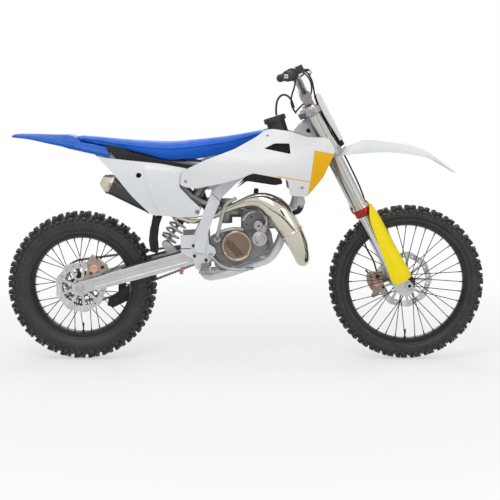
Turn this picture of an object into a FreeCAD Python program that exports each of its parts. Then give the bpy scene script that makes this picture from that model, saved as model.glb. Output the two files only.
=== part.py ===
import FreeCAD, Part
import math
import os
import types
import Sketcher

# A small youth class two-stroke motocross bike, in millimetres.
# The working frame has X forward from the rear axle, Y to the rider's left and Z up from the ground.
# Every piece is then moved so that the origin is the point of the seat where the rider sits.

SIZES = (
    # Layout of the wheels, the steering axis and the rider
    ("wheelbase", 1290),
    ("rear_axle_height", 297),
    ("front_axle_height", 309),
    ("rake_angle", 27),
    ("steering_offset", 56),
    ("fork_offset", 23),
    ("fork_half_spread", 92),
    ("seat_point_x", 430),
    ("seat_point_z", 866),
    ("seat_gap", 0.3),
    ("running_gap", 1),
    ("moving_gap", 6),
    ("cut_overrun", 2),
    # Tyres
    ("rear_tyre_radius", 297),
    ("rear_carcass_radius", 282),
    ("rear_tyre_half_width", 48),
    ("rear_bead_radius", 203),
    ("front_tyre_radius", 309),
    ("front_carcass_radius", 296),
    ("front_tyre_half_width", 39),
    ("front_bead_radius", 241),
    ("rear_lug_rows", 22),
    ("front_lug_rows", 23),
    # Rims and spokes
    ("rear_rim_half_width", 29),
    ("front_rim_half_width", 23),
    ("rim_flange_height", 10),
    ("rim_flange_wall", 3.5),
    ("rim_well_depth", 9),
    ("spoke_radius", 1.9),
    ("spoke_count", 36),
    # Hubs, axles and collars
    ("axle_radius", 10),
    ("axle_bore_radius", 6),
    ("collar_radius", 15),
    ("hub_barrel_radius", 19),
    ("rear_flange_radius", 44),
    ("front_flange_radius", 34),
    ("hub_flange_wall", 6),
    ("hub_carrier_radius", 30),
    ("hub_carrier_wall", 6),
    ("rear_flange_y", 36),
    ("front_flange_y", 34),
    ("axle_head_radius", 16),
    ("axle_head_length", 7),
    # Brake discs and calipers
    ("disc_thickness", 3.5),
    ("disc_plane_y", 62),
    ("front_disc_radius", 114),
    ("rear_disc_radius", 102),
    ("disc_band_width", 21),
    ("disc_hub_radius", 36),
    ("disc_waves", 9),
    ("disc_wave_depth", 6),
    ("caliper_width", 36),
    # Chain and sprockets
    ("chain_plane_y", 60),
    ("chain_pitch", 12.7),
    ("rear_sprocket_teeth", 46),
    ("drive_sprocket_teeth", 14),
    ("chain_half_height", 5.6),
    ("chain_half_width", 6.5),
    ("sprocket_half_thickness", 2.4),
    ("drive_sprocket_x", 540),
    ("drive_sprocket_z", 438),
    ("output_shaft_radius", 9),
    # Swingarm
    ("pivot_x", 484),
    ("pivot_z", 432),
    ("arm_inner_y", 75),
    ("arm_thickness", 23),
    ("arm_axle_height", 45),
    ("arm_pivot_height", 56),
    ("pivot_tube_radius", 17),
    ("pivot_pin_radius", 8),
    ("arm_pocket_depth", 3),
    ("bridge_share", 0.78),
    ("bridge_length", 52),
    ("bridge_height", 40),
    ("clevis_wall", 7),
    ("shock_foot_radius", 15),
    ("shock_foot_half_width", 13),
    ("shock_pin_radius", 7),
    ("spring_low_share", 0.08),
    ("spring_high_share", 0.72),
    # Main frame
    ("plate_inner_y", 99),
    ("plate_thickness", 13),
    ("spar_height", 44),
    ("spar_width", 20),
    ("tube_radius", 15),
    ("head_tube_radius", 27),
    ("head_tube_bore", 20.5),
    ("head_tube_low", 622),
    ("head_tube_length", 138),
    ("cross_tube_x", 566),
    ("cross_tube_z", 690),
    ("cross_tube_radius", 13),
    ("tower_wall", 6),
    ("shock_head_radius", 13),
    ("shock_head_half_width", 12),
    ("engine_tab_reach", 40),
    ("engine_tab_radius", 9),
    # Subframe
    ("rail_radius", 9),
    # Seat
    ("seat_rear_x", -8),
    ("seat_length", 736),
    ("seat_low_z", 780),
    ("airbox_front_share", 0.585),
    # Engine cases
    ("case_left", 520),
    ("case_low", 342),
    ("case_length", 240),
    ("case_height", 178),
    ("case_left_y", 52),
    ("case_right_y", 60),
    ("cover_thickness", 34),
    ("flywheel_x", 696),
    ("flywheel_z", 461),
    ("flywheel_radius", 50),
    ("flywheel_depth", 26),
    # Fork and clamps
    ("outer_tube_radius", 27),
    ("outer_tube_low", 346),
    ("outer_tube_length", 446),
    ("fork_cap_height", 9),
    ("inner_tube_radius", 21.5),
    ("wiper_radius", 31),
    ("wiper_height", 38),
    ("axle_lug_width", 44),
    ("axle_lug_low", 34),
    ("axle_lug_high", 72),
    ("top_clamp_z", 766),
    ("top_clamp_height", 24),
    ("lower_clamp_z", 584),
    ("lower_clamp_height", 32),
    ("clamp_grip", 9),
    ("stem_radius", 14),
    ("bearing_height", 14),
    # Silencer
    ("silencer_rear_x", 96),
    ("silencer_rear_z", 722),
    ("silencer_y", -100),
    ("silencer_dive_angle", 26.2),
    ("silencer_cap_length", 30),
    ("silencer_can_length", 186),
    ("silencer_cone_length", 46),
    ("silencer_neck_length", 18),
    ("silencer_can_radius", 38),
    ("silencer_neck_radius", 15),
    ("silencer_outlet_radius", 14),
    ("silencer_outlet_wall", 9),
    ("silencer_outlet_depth", 26),
    ("silencer_bracket_length", 30),
    ("silencer_bracket_wall", 4),
    ("silencer_bracket_height", 140),
    ("silencer_bracket_inset", 10),
    ("front_fender_half_width", 62),
    # Handlebar
    ("bar_radius", 11),
    ("bar_mid_radius", 14),
    ("bar_half_width", 372),
    ("bar_low_half_width", 52),
    ("bar_clamp_x", 30),
    ("bar_clamp_z", 846),
    ("bar_end_x", -14),
    ("bar_end_z", 946),
    ("grip_length", 118),
    ("grip_radius", 16.5),
    ("cap_rib_radius", 4),
    ("spring_seat_wall", 6),
    # Radiators
    ("radiator_front_x", 880),
    ("radiator_depth", 32),
    ("radiator_low_z", 628),
    ("radiator_height", 168),
    ("radiator_inner_y", 60),
    ("radiator_outer_y", 148),
    ("radiator_bracket_height", 58),
    # Sheet thickness of the moulded plastics
    ("plastic_wall", 4),
    ("boss_radius", 6),
    # Tubes slimmer than this have fewer flat sides
    ("slim_radius", 10.5),
    ("level_share", 0.001),
)

document = FreeCAD.newDocument("MotocrossBike")
sheet = document.addObject("Spreadsheet::Sheet", "Sizes")
for row, (alias, value) in enumerate(SIZES, start=1):
    sheet.set(f"A{row}", alias)
    sheet.set(f"B{row}", str(value))
    sheet.setAlias(f"B{row}", alias)
document.recompute()
s = types.SimpleNamespace(**{alias: float(sheet.get(alias)) for alias, value in SIZES})

rake = math.radians(s.rake_angle)
mid_plane = FreeCAD.Vector(0, 1, 0)
pieces = []


# Points, outlines and placements

def point(x, y, z):
    return FreeCAD.Vector(x, y, z)


def bike_placement():
    return FreeCAD.Placement(point(-s.seat_point_x, 0, -s.seat_point_z), FreeCAD.Rotation())


def fork_placement():
    """The fork frame stands on the steering axis, at the foot of the line from the front axle."""
    foot_x = s.wheelbase - s.steering_offset * math.cos(rake) - s.seat_point_x
    foot_z = s.front_axle_height - s.steering_offset * math.sin(rake) - s.seat_point_z
    return FreeCAD.Placement(point(foot_x, 0, foot_z), FreeCAD.Rotation(mid_plane, -s.rake_angle))


def outline(shares, left, low, length, height, y):
    """Corners of a side outline, given as shares of its length and height."""
    return [point(left + along * length, y, low + up * height) for along, up in shares]


def face(corners):
    return Part.Face(Part.makePolygon(corners + corners[:1]))


def plate(corners, thickness):
    """A flat plate from its corners, thickened to the left of the bike."""
    return face(corners).extrude(mid_plane * thickness)


def mirrored(shape):
    return shape.mirror(point(0, 0, 0), mid_plane)


def both_sides(shape):
    return Part.makeCompound([shape, mirrored(shape)])


def fused(shapes):
    return shapes[0].multiFuse(shapes[1:]).removeSplitter()


# Solids of round and moulded forms

def rod(start, end, radius):
    """A round bar from one point to another."""
    direction = end - start
    return Part.makeCylinder(radius, direction.Length, start, direction)


def crossbar(x, z, low_y, high_y, radius):
    """A round bar across the bike."""
    return rod(point(x, low_y, z), point(x, high_y, z), radius)


def tangent_path(points, run_share):
    """Straight runs joined by arcs that take a share of the runs beside them."""
    edges = []
    start = points[0]
    for before, corner, after in zip(points, points[1:], points[2:]):
        back = (before - corner).normalize()
        ahead = (after - corner).normalize()
        reach = run_share * min((before - corner).Length, (after - corner).Length)
        turn = math.pi - back.getAngle(ahead)
        radius = reach / math.tan(turn / 2)
        entry = corner + back * reach
        leave = corner + ahead * reach
        middle = corner + (back + ahead).normalize() * (radius / math.cos(turn / 2) - radius)
        edges.append(Part.LineSegment(start, entry).toShape())
        edges.append(Part.Arc(entry, middle, leave).toShape())
        start = leave
    edges.append(Part.LineSegment(start, points[-1]).toShape())
    return Part.Wire(edges)


def cross_directions(direction):
    """Two unit directions across a run, the first as near to the bike's left as it can be."""
    left = mid_plane - direction * mid_plane.dot(direction)
    if left.Length < s.level_share:
        left = point(1, 0, 0)
    left.normalize()
    return left, direction.cross(left).normalize()


def even_ring(centre, left, up, radius, sides):
    """An even-sided outline across a run, which stands for a circle."""
    corners = []
    for index in range(sides):
        turn = 2 * math.pi * index / sides
        corners.append(centre + left * (radius * math.cos(turn)) + up * (radius * math.sin(turn)))
    return Part.makePolygon(corners + corners[:1])


def shared_route(shares):
    """Points given as shares of the wheelbase along and across, and of the rider's seat height up."""
    return [point(x * s.wheelbase, y * s.wheelbase, z * s.seat_point_z) for x, y, z in shares]


def bent_tube(points, radius, run_share=0.45):
    """A tube bent along a route, with flat sides that stand for its round."""
    slim_sides = 8
    stout_sides = 14
    sides = slim_sides if radius < s.slim_radius else stout_sides
    left, up = cross_directions((points[1] - points[0]).normalize())
    ring = even_ring(points[0], left, up, radius, sides)
    return tangent_path(points, run_share).makePipeShell([ring], True, True)


def flow_directions(points):
    """Unit directions along a line of points, averaged at the inner points."""
    steps = [(after - before).normalize() for before, after in zip(points, points[1:])]
    middles = [(back + ahead).normalize() for back, ahead in zip(steps, steps[1:])]
    return [steps[0]] + middles + [steps[-1]]


def cone_pipe(points, radii):
    """A pipe that swells and narrows along its line, its seam carried along without a twist."""
    sides = 24
    directions = flow_directions(points)
    left = cross_directions(directions[0])[0]
    rings = []
    for centre, direction, radius in zip(points, directions, radii):
        left = (left - direction * left.dot(direction)).normalize()
        rings.append(even_ring(centre, left, direction.cross(left), radius, sides))
    return Part.makeLoft(rings, True, True)


def beam(stations):
    """A box beam through stations of centre, height across its run and width across the bike."""
    centres = [centre for centre, height, width in stations]
    wires = []
    for (centre, height, width), direction in zip(stations, flow_directions(centres)):
        up = mid_plane.cross(direction).normalize() * -height / 2
        side = mid_plane * (width / 2)
        corners = [centre + up + side, centre + up - side, centre - up - side, centre - up + side]
        wires.append(Part.makePolygon(corners + corners[:1]))
    return Part.makeLoft(wires, True, True)


def moulding(sections, straight=False):
    """A solid through closed sections of equally many corners, smooth or straight between them."""
    wires = [Part.makePolygon(corners + corners[:1]) for corners in sections]
    return Part.makeLoft(wires, True, straight)


def arch_section(x, half_width, top, drop, wall, steps):
    """A thin arch across the bike, low at its edges and highest on the mid-plane."""
    outer = []
    inner = []
    for step in range(steps + 1):
        across = 2 * step / steps - 1
        height = top - drop * across * across
        outer.append(point(x, across * half_width, height))
        inner.append(point(x, across * (half_width - wall), height - wall))
    return outer + inner[::-1]


# The document's objects

def add_solid(node, shape, placement):
    """A sub-part whose shape is worked out above, put in its place."""
    feature = document.addObject("Part::Feature", node)
    feature.Label = node
    feature.Shape = shape
    feature.Placement = placement.multiply(shape.Placement)
    pieces.append(feature)


def new_body(node, base_x, base_z):
    """A body for a turning piece, placed at its axle by the sheet."""
    body = document.addObject("PartDesign::Body", node)
    body.Label = node
    body.setExpression("Placement.Base.x", f"{base_x} - Sizes.seat_point_x")
    body.setExpression("Placement.Base.z", f"{base_z} - Sizes.seat_point_z")
    pieces.append(body)
    return body


def outline_sketch(body, name, corners):
    """A closed sketch in the body's upright plane, its corners bound to the sheet."""
    sketch = body.newObject("Sketcher::SketchObject", name)
    plane = [item for item in body.Origin.OriginFeatures if item.Role == "XY_Plane"][0]
    sketch.AttachmentSupport = (plane, [""])
    sketch.MapMode = "FlatFace"
    places = [[float(sheet.evalExpression(text)) for text in corner] for corner in corners]
    for index, place in enumerate(places):
        following = places[(index + 1) % len(places)]
        sketch.addGeometry(Part.LineSegment(point(*place, 0), point(*following, 0)))
    for index in range(len(places)):
        following = (index + 1) % len(places)
        sketch.addConstraint(Sketcher.Constraint("Coincident", index, 2, following, 1))
    for index, (place, corner) in enumerate(zip(places, corners)):
        for kind, number, text in zip(("DistanceX", "DistanceY"), place, corner):
            link = sketch.addConstraint(Sketcher.Constraint(kind, -1, 1, index, 1, number))
            sketch.setExpression(f"Constraints[{link}]", text)
    return sketch


def revolved(body, name, corners):
    """A ring turned about the axle from corners given as radius and place across the bike."""
    sketch = outline_sketch(body, name + "_outline", corners)
    turned = body.newObject("PartDesign::Revolution", name)
    turned.Profile = sketch
    turned.ReferenceAxis = (sketch, ["V_Axis"])
    turned.Angle = 360
    return turned


# Wheels

def tyre_section(carcass, half_width, bead, rim_half_width, steps):
    """Corners of the tyre's section as radius and place across, from one bead over the tread to the other."""
    seat_y = rim_half_width - s.rim_flange_wall - s.seat_gap
    chord_share = math.cos(math.pi / steps)
    bead_radius = (bead + s.seat_gap) / chord_share
    flange_radius = (bead + s.rim_flange_height + s.seat_gap) / chord_share
    wall_shares = ((1.0, 0.55), (0.88, 0.25), (0.66, 0.10), (0.32, 0.02))
    height = carcass - bead
    side = [(bead_radius, seat_y), (flange_radius, seat_y)]
    side += [(carcass - drop * height, across * half_width) for across, drop in wall_shares]
    return [(radius, -y) for radius, y in side] + side[::-1]


def lug_faces(base, rise, inset_share):
    """The top and the four leaning walls of one tread lug over a flat patch of the carcass."""
    centre = (base[0] + base[1] + base[2] + base[3]) * 0.25
    outward = (base[2] - base[0]).cross(base[3] - base[1]).normalize()
    if outward.dot(point(centre.x, 0, centre.z)) < 0:
        outward = outward * -1
    top = [corner + (centre - corner) * inset_share + outward * rise for corner in base]
    faces = [face(top)]
    for index in range(len(base)):
        following = (index + 1) % len(base)
        faces.append(face([base[index], base[following], top[following], top[index]]))
    return faces


def tyre(carcass, tip, half_width, bead, rim_half_width, rows):
    """A knobby tyre: staggered lugs on a carcass, closed round the beads."""
    steps = 2 * int(rows)
    section = tyre_section(carcass, half_width, bead, rim_half_width, steps)
    centre_strip = len(section) // 2 - 1
    inset_share = 0.16
    crown_radius = section[centre_strip][0]
    corner_reach = crown_radius * math.sin(math.pi / steps) * (1 - inset_share)
    crown = math.sqrt(tip * tip - corner_reach * corner_reach) - crown_radius * math.cos(math.pi / steps)
    rise_shares = {centre_strip: 1.0, centre_strip - 1: 0.85, centre_strip + 1: 0.85,
                   centre_strip - 2: 0.5, centre_strip + 2: 0.5}

    def on(radius, y, turn):
        return point(radius * math.sin(turn), y, -radius * math.cos(turn))

    faces = []
    for step in range(steps):
        start = 2 * math.pi * step / steps
        end = 2 * math.pi * (step + 1) / steps
        for strip in range(len(section)):
            low = section[strip]
            high = section[(strip + 1) % len(section)]
            patch = [on(*low, start), on(*high, start), on(*high, end), on(*low, end)]
            if strip in rise_shares and (strip - centre_strip) % 2 == step % 2:
                faces += lug_faces(patch, crown * rise_shares[strip], inset_share)
            else:
                faces.append(face(patch))
    shell = Part.makeShell(faces)
    shell.sewShape()
    return Part.makeSolid(shell)


def make_tyres():
    rear = tyre(s.rear_carcass_radius, s.rear_tyre_radius, s.rear_tyre_half_width,
                s.rear_bead_radius, s.rear_rim_half_width, s.rear_lug_rows)
    place = point(-s.seat_point_x, 0, s.rear_axle_height - s.seat_point_z)
    add_solid("rear_tyre", rear, FreeCAD.Placement(place, FreeCAD.Rotation()))
    front = tyre(s.front_carcass_radius, s.front_tyre_radius, s.front_tyre_half_width,
                 s.front_bead_radius, s.front_rim_half_width, s.front_lug_rows)
    place = point(s.wheelbase - s.seat_point_x, 0, s.front_axle_height - s.seat_point_z)
    add_solid("front_tyre", front, FreeCAD.Placement(place, FreeCAD.Rotation()))


def spoke(hub_radius, flange_y, rim_radius, hub_turn, rim_turn):
    """One spoke from a hub flange to the rim, square in section."""
    start = point(hub_radius * math.cos(hub_turn), flange_y, hub_radius * math.sin(hub_turn))
    end = point(rim_radius * math.cos(rim_turn), 0, rim_radius * math.sin(rim_turn))
    direction = (end - start).normalize()
    side = direction.cross(mid_plane).normalize() * s.spoke_radius
    up = direction.cross(side).normalize() * s.spoke_radius
    corners = [start + side, start + up, start - side, start - up]
    return face(corners).extrude(end - start)


def spoked_rim(bead, half_width, flange_radius, flange_y):
    """A hollow-backed rim with its spokes laced to both hub flanges."""
    lip = bead + s.rim_flange_height
    well = bead - s.rim_well_depth
    wall = s.rim_flange_wall
    half = [(well, 0), (well, half_width / 2), (bead - wall, half_width), (lip, half_width),
            (lip, half_width - wall), (bead, half_width - wall), (bead, 0)]
    corners = [point(radius, y, 0) for radius, y in half]
    ring = face(corners).revolve(point(0, 0, 0), mid_plane, 360)
    ring = ring.fuse(mirrored(ring)).removeSplitter()
    spokes = []
    count = int(s.spoke_count)
    step = 2 * math.pi / count
    crossing_share = 3.2
    elbow_share = 0.65
    hub_reach = flange_radius + s.seat_gap + s.spoke_radius * elbow_share
    for index in range(count):
        side = 1 if index % 2 else -1
        lean = crossing_share if index % 4 < 2 else -crossing_share
        rim_turn = index * step
        hub_turn = rim_turn + lean * step
        spokes.append(spoke(hub_reach, side * flange_y, well + wall, hub_turn, rim_turn))
    return ring.multiFuse(spokes)


def make_rims():
    rear = spoked_rim(s.rear_bead_radius, s.rear_rim_half_width, s.rear_flange_radius, s.rear_flange_y)
    place = point(-s.seat_point_x, 0, s.rear_axle_height - s.seat_point_z)
    add_solid("rear_rim", rear, FreeCAD.Placement(place, FreeCAD.Rotation()))
    front = spoked_rim(s.front_bead_radius, s.front_rim_half_width, s.front_flange_radius, s.front_flange_y)
    place = point(s.wheelbase - s.seat_point_x, 0, s.front_axle_height - s.seat_point_z)
    add_solid("front_rim", front, FreeCAD.Placement(place, FreeCAD.Rotation()))


def make_hub(node, end, base_x, base_z, right_face, left_face):
    """A hub with two spoke flanges and the two faces that carry a disc or a sprocket, bored for its axle."""
    body = new_body(node, base_x, base_z)
    bore = "Sizes.axle_radius + Sizes.seat_gap"
    barrel = "Sizes.hub_barrel_radius"
    carrier = "Sizes.hub_carrier_radius"
    flange = f"Sizes.{end}_flange_radius"
    inner = f"(Sizes.{end}_flange_y - Sizes.hub_flange_wall / 2)"
    outer = f"(Sizes.{end}_flange_y + Sizes.hub_flange_wall / 2)"
    right = f"({right_face})"
    left = f"({left_face})"
    wall = "Sizes.hub_carrier_wall"
    corners = [(bore, f"-{right}"), (carrier, f"-{right}"), (carrier, f"-{right} + {wall}"),
               (barrel, f"-{right} + {wall}"), (barrel, f"-{outer}"), (flange, f"-{outer}"),
               (flange, f"-{inner}"), (barrel, f"-{inner}"), (barrel, inner), (flange, inner),
               (flange, outer), (barrel, outer), (barrel, f"{left} - {wall}"),
               (carrier, f"{left} - {wall}"), (carrier, left), (bore, left)]
    revolved(body, node + "_ring", corners)


def make_hubs():
    disc_face = "Sizes.disc_plane_y - Sizes.disc_thickness / 2 - Sizes.seat_gap"
    sprocket_face = "Sizes.chain_plane_y - Sizes.sprocket_half_thickness - Sizes.seat_gap"
    make_hub("rear_hub", "rear", "0", "Sizes.rear_axle_height", disc_face, sprocket_face)
    make_hub("front_hub", "front", "Sizes.wheelbase", "Sizes.front_axle_height", disc_face, disc_face)


def wavy_disc(radius, side):
    """A brake disc with a wavy edge, open between its band and its hub ring."""
    waves = int(s.disc_waves)
    steps = waves * 8
    edge = []
    for step in range(steps):
        turn = 2 * math.pi * step / steps
        reach = radius - s.disc_wave_depth / 2 * (1 - math.cos(waves * turn))
        edge.append(point(reach * math.cos(turn), 0, reach * math.sin(turn)))
    band = plate(edge, s.disc_thickness)
    band = band.cut(Part.makeCylinder(radius - s.disc_band_width - s.disc_wave_depth,
                                      s.disc_thickness, point(0, 0, 0), mid_plane))
    ring = Part.makeCylinder(s.disc_hub_radius, s.disc_thickness, point(0, 0, 0), mid_plane)
    arms = []
    arm_half = s.disc_band_width / 4
    for index in range(waves):
        turn = 2 * math.pi * index / waves
        arm = Part.makeBox(radius - s.disc_band_width, s.disc_thickness, 2 * arm_half, point(0, 0, -arm_half))
        arm.rotate(point(0, 0, 0), mid_plane, math.degrees(turn))
        arms.append(arm)
    disc = band.multiFuse([ring] + arms)
    bore = Part.makeCylinder(s.collar_radius + s.moving_gap, s.disc_thickness, point(0, 0, 0), mid_plane)
    hole_share = 0.15
    hole_sides = 6
    hole_radius = s.disc_band_width * hole_share
    hole_reach = radius - s.disc_wave_depth - s.disc_band_width / 2
    holes = [bore]
    for index in range(2 * waves):
        turn = math.pi * (index + 0.5) / waves
        place = point(hole_reach * math.cos(turn), 0, hole_reach * math.sin(turn))
        ring = even_ring(place, point(1, 0, 0), point(0, 0, 1), hole_radius, hole_sides)
        holes.append(Part.Face(ring).extrude(mid_plane * s.disc_thickness))
    disc = disc.cut(holes).removeSplitter()
    start_y = side * s.disc_plane_y - s.disc_thickness / 2
    disc.translate(mid_plane * start_y)
    return disc


def make_discs():
    place = point(-s.seat_point_x, 0, s.rear_axle_height - s.seat_point_z)
    add_solid("rear_disc", wavy_disc(s.rear_disc_radius, -1), FreeCAD.Placement(place, FreeCAD.Rotation()))
    place = point(s.wheelbase - s.seat_point_x, 0, s.front_axle_height - s.seat_point_z)
    add_solid("front_disc", wavy_disc(s.front_disc_radius, 1), FreeCAD.Placement(place, FreeCAD.Rotation()))


# Chain drive

def pitch_radius(teeth):
    return s.chain_pitch / 2 / math.sin(math.pi / teeth)


def belt_outline(offset):
    """The loop round both sprockets, its corners pushed out from the pitch line by an offset."""
    rear_centre = (0, s.rear_axle_height)
    drive_centre = (s.drive_sprocket_x, s.drive_sprocket_z)
    rear_radius = pitch_radius(s.rear_sprocket_teeth) + offset
    drive_radius = pitch_radius(s.drive_sprocket_teeth) + offset
    across = drive_centre[0] - rear_centre[0]
    rise = drive_centre[1] - rear_centre[1]
    slope = math.atan2(rise, across)
    cone = math.asin((rear_radius - drive_radius) / math.hypot(across, rise))
    upper = slope + math.pi / 2 - cone
    lower = slope - math.pi / 2 + cone

    def on(centre, radius, turn):
        y = s.chain_plane_y - s.chain_half_width
        return point(centre[0] + radius * math.cos(turn), y, centre[1] + radius * math.sin(turn))

    rear_top = on(rear_centre, rear_radius, upper)
    rear_back = on(rear_centre, rear_radius, slope + math.pi)
    rear_low = on(rear_centre, rear_radius, lower)
    drive_top = on(drive_centre, drive_radius, upper)
    drive_front = on(drive_centre, drive_radius, slope)
    drive_low = on(drive_centre, drive_radius, lower)
    edges = [
        Part.Arc(rear_low, rear_back, rear_top).toShape(),
        Part.LineSegment(rear_top, drive_top).toShape(),
        Part.Arc(drive_top, drive_front, drive_low).toShape(),
        Part.LineSegment(drive_low, rear_low).toShape(),
    ]
    return Part.Face(Part.Wire(edges)).extrude(mid_plane * 2 * s.chain_half_width)


def chain_edge(offset):
    """The chain's inner or outer edge as corners, out at each roller and in at each link's waist."""
    rear_radius = pitch_radius(s.rear_sprocket_teeth)
    drive_radius = pitch_radius(s.drive_sprocket_teeth)
    rise = s.drive_sprocket_z - s.rear_axle_height
    distance = math.hypot(s.drive_sprocket_x, rise)
    slope = math.atan2(rise, s.drive_sprocket_x)
    cone = math.asin((rear_radius - drive_radius) / distance)
    straight = distance * math.cos(cone)
    rear_wrap = rear_radius * (math.pi + 2 * cone)
    drive_wrap = drive_radius * (math.pi - 2 * cone)
    total = rear_wrap + drive_wrap + 2 * straight
    links = round(total / s.chain_pitch)
    waist_share = 0.55
    corners = []
    upper = slope + math.pi / 2 - cone
    lower = slope - math.pi / 2 + cone
    rear_centre = point(0, 0, s.rear_axle_height)
    drive_centre = point(s.drive_sprocket_x, 0, s.drive_sprocket_z)

    def place(centre, radius, turn, along):
        outward = point(math.cos(turn), 0, math.sin(turn))
        return centre + outward * radius + point(outward.z, 0, -outward.x) * along

    for step in range(2 * links):
        reach = offset if step % 2 == 0 else offset * waist_share
        run = total * step / (2 * links)
        if run < rear_wrap:
            corners.append(place(rear_centre, rear_radius + reach, lower - run / rear_radius, 0))
        elif run < rear_wrap + straight:
            corners.append(place(rear_centre, rear_radius + reach, upper, run - rear_wrap))
        elif run < rear_wrap + straight + drive_wrap:
            wrap = run - rear_wrap - straight
            corners.append(place(drive_centre, drive_radius + reach, upper - wrap / drive_radius, 0))
        else:
            along = run - rear_wrap - straight - drive_wrap
            corners.append(place(drive_centre, drive_radius + reach, lower, along))
    return corners


def make_chain():
    """The chain as one fixed loop of waisted links."""
    start = mid_plane * (s.chain_plane_y - s.chain_half_width)
    outer = face([corner + start for corner in chain_edge(s.chain_half_height)])
    inner = face([corner + start for corner in chain_edge(-s.chain_half_height)])
    loop = outer.cut(inner).extrude(mid_plane * 2 * s.chain_half_width)
    add_solid("chain", loop, bike_placement())


def toothed_disc(teeth, tip_radius, bore_radius):
    """A sprocket plate with rounded gullets between its teeth."""
    root_radius = tip_radius - s.chain_half_height
    count = int(teeth)
    edge = []
    for index in range(count):
        for share, radius in ((0.1, root_radius), (0.4, tip_radius), (0.6, tip_radius), (0.9, root_radius)):
            turn = 2 * math.pi * (index + share) / count
            edge.append(point(radius * math.cos(turn), -s.sprocket_half_thickness, radius * math.sin(turn)))
    disc = plate(edge, 2 * s.sprocket_half_thickness)
    start = point(0, -s.sprocket_half_thickness, 0)
    return disc.cut(Part.makeCylinder(bore_radius, 2 * s.sprocket_half_thickness, start, mid_plane))


def make_sprockets():
    tip = pitch_radius(s.rear_sprocket_teeth) - s.chain_half_height - s.running_gap
    rear = toothed_disc(s.rear_sprocket_teeth, tip, s.collar_radius + s.moving_gap)
    rear.translate(mid_plane * s.chain_plane_y)
    place = point(-s.seat_point_x, 0, s.rear_axle_height - s.seat_point_z)
    add_solid("rear_sprocket", rear, FreeCAD.Placement(place, FreeCAD.Rotation()))
    tip = pitch_radius(s.drive_sprocket_teeth) - s.chain_half_height - s.seat_gap
    drive = toothed_disc(s.drive_sprocket_teeth, tip, s.output_shaft_radius + s.seat_gap)
    drive.translate(point(s.drive_sprocket_x, s.chain_plane_y, s.drive_sprocket_z))
    add_solid("drive_sprocket", drive, bike_placement())


# Swingarm, its guides and the rear axle

def arm_centre(along):
    """A point on the swingarm's centre line, from the axle at 0 to the pivot at 1."""
    y = s.arm_inner_y + s.arm_thickness / 2
    drop = s.rear_axle_height + (s.pivot_z - s.rear_axle_height) * along
    return point(s.pivot_x * along, -y, drop)


def swingarm_beam(growth):
    """The right arm, or the same arm grown by a clearance."""
    end_share = 0.06
    middle_share = 0.45
    tip_height_share = 0.8
    tip_width_share = 0.9
    height = s.arm_axle_height + 2 * growth
    pivot_height = s.arm_pivot_height + 2 * growth
    width = s.arm_thickness + 2 * growth
    return beam((
        (arm_centre(-end_share), height * tip_height_share, width * tip_width_share),
        (arm_centre(0), height, width),
        (arm_centre(middle_share), pivot_height, width),
        (arm_centre(1 + end_share), pivot_height, width),
    ))


def make_swingarm():
    """The two tapered arms with their bridge, the shock's clevis and the cast hollows in their sides."""
    arm = swingarm_beam(0)
    pocket_start_share = 0.12
    pocket_end_share = 0.86
    pocket_height_share = 0.46
    pocket_start = arm_centre(pocket_start_share)
    pocket_end = arm_centre(pocket_end_share)
    outward = point(0, -s.arm_thickness / 2, 0)
    pocket = beam((
        (pocket_start + outward, s.arm_axle_height * pocket_height_share, 2 * s.arm_pocket_depth),
        (pocket_end + outward, s.arm_pivot_height * pocket_height_share, 2 * s.arm_pocket_depth),
    ))
    arm = arm.cut(pocket)
    bridge_centre = arm_centre(s.bridge_share)
    bridge = Part.makeBox(s.bridge_length, 2 * s.arm_inner_y, s.bridge_height,
                          point(bridge_centre.x - s.bridge_length / 2, -s.arm_inner_y,
                                bridge_centre.z - s.bridge_height / 2))
    tube = crossbar(s.pivot_x, s.pivot_z, -s.arm_inner_y, s.arm_inner_y, s.pivot_tube_radius)
    foot = shock_point(0)
    ear_inner_y = s.shock_foot_half_width + s.seat_gap
    low_z = bridge_centre.z
    ear_corners = [
        point(bridge_centre.x - s.bridge_length / 2, -ear_inner_y - s.clevis_wall, low_z),
        point(bridge_centre.x + s.bridge_length / 2, -ear_inner_y - s.clevis_wall, low_z),
        point(foot.x + s.shock_foot_radius, -ear_inner_y - s.clevis_wall, foot.z + s.shock_foot_radius / 2),
        point(foot.x, -ear_inner_y - s.clevis_wall, foot.z + s.shock_foot_radius),
        point(foot.x - s.shock_foot_radius, -ear_inner_y - s.clevis_wall, foot.z),
    ]
    ear = plate(ear_corners, s.clevis_wall)
    ear_outer_y = ear_inner_y + s.clevis_wall
    pin = crossbar(foot.x, foot.z, -ear_outer_y, ear_outer_y, s.shock_pin_radius)
    body = fused([arm, mirrored(arm), bridge, tube, ear, mirrored(ear), pin])
    outer_y = s.arm_inner_y + s.arm_thickness + s.cut_overrun
    bores = [
        crossbar(0, s.rear_axle_height, -outer_y, outer_y, s.axle_radius + s.seat_gap),
        crossbar(s.pivot_x, s.pivot_z, -outer_y, outer_y, s.pivot_pin_radius + s.seat_gap),
    ]
    add_solid("swingarm", body.cut(bores), bike_placement())


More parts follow.
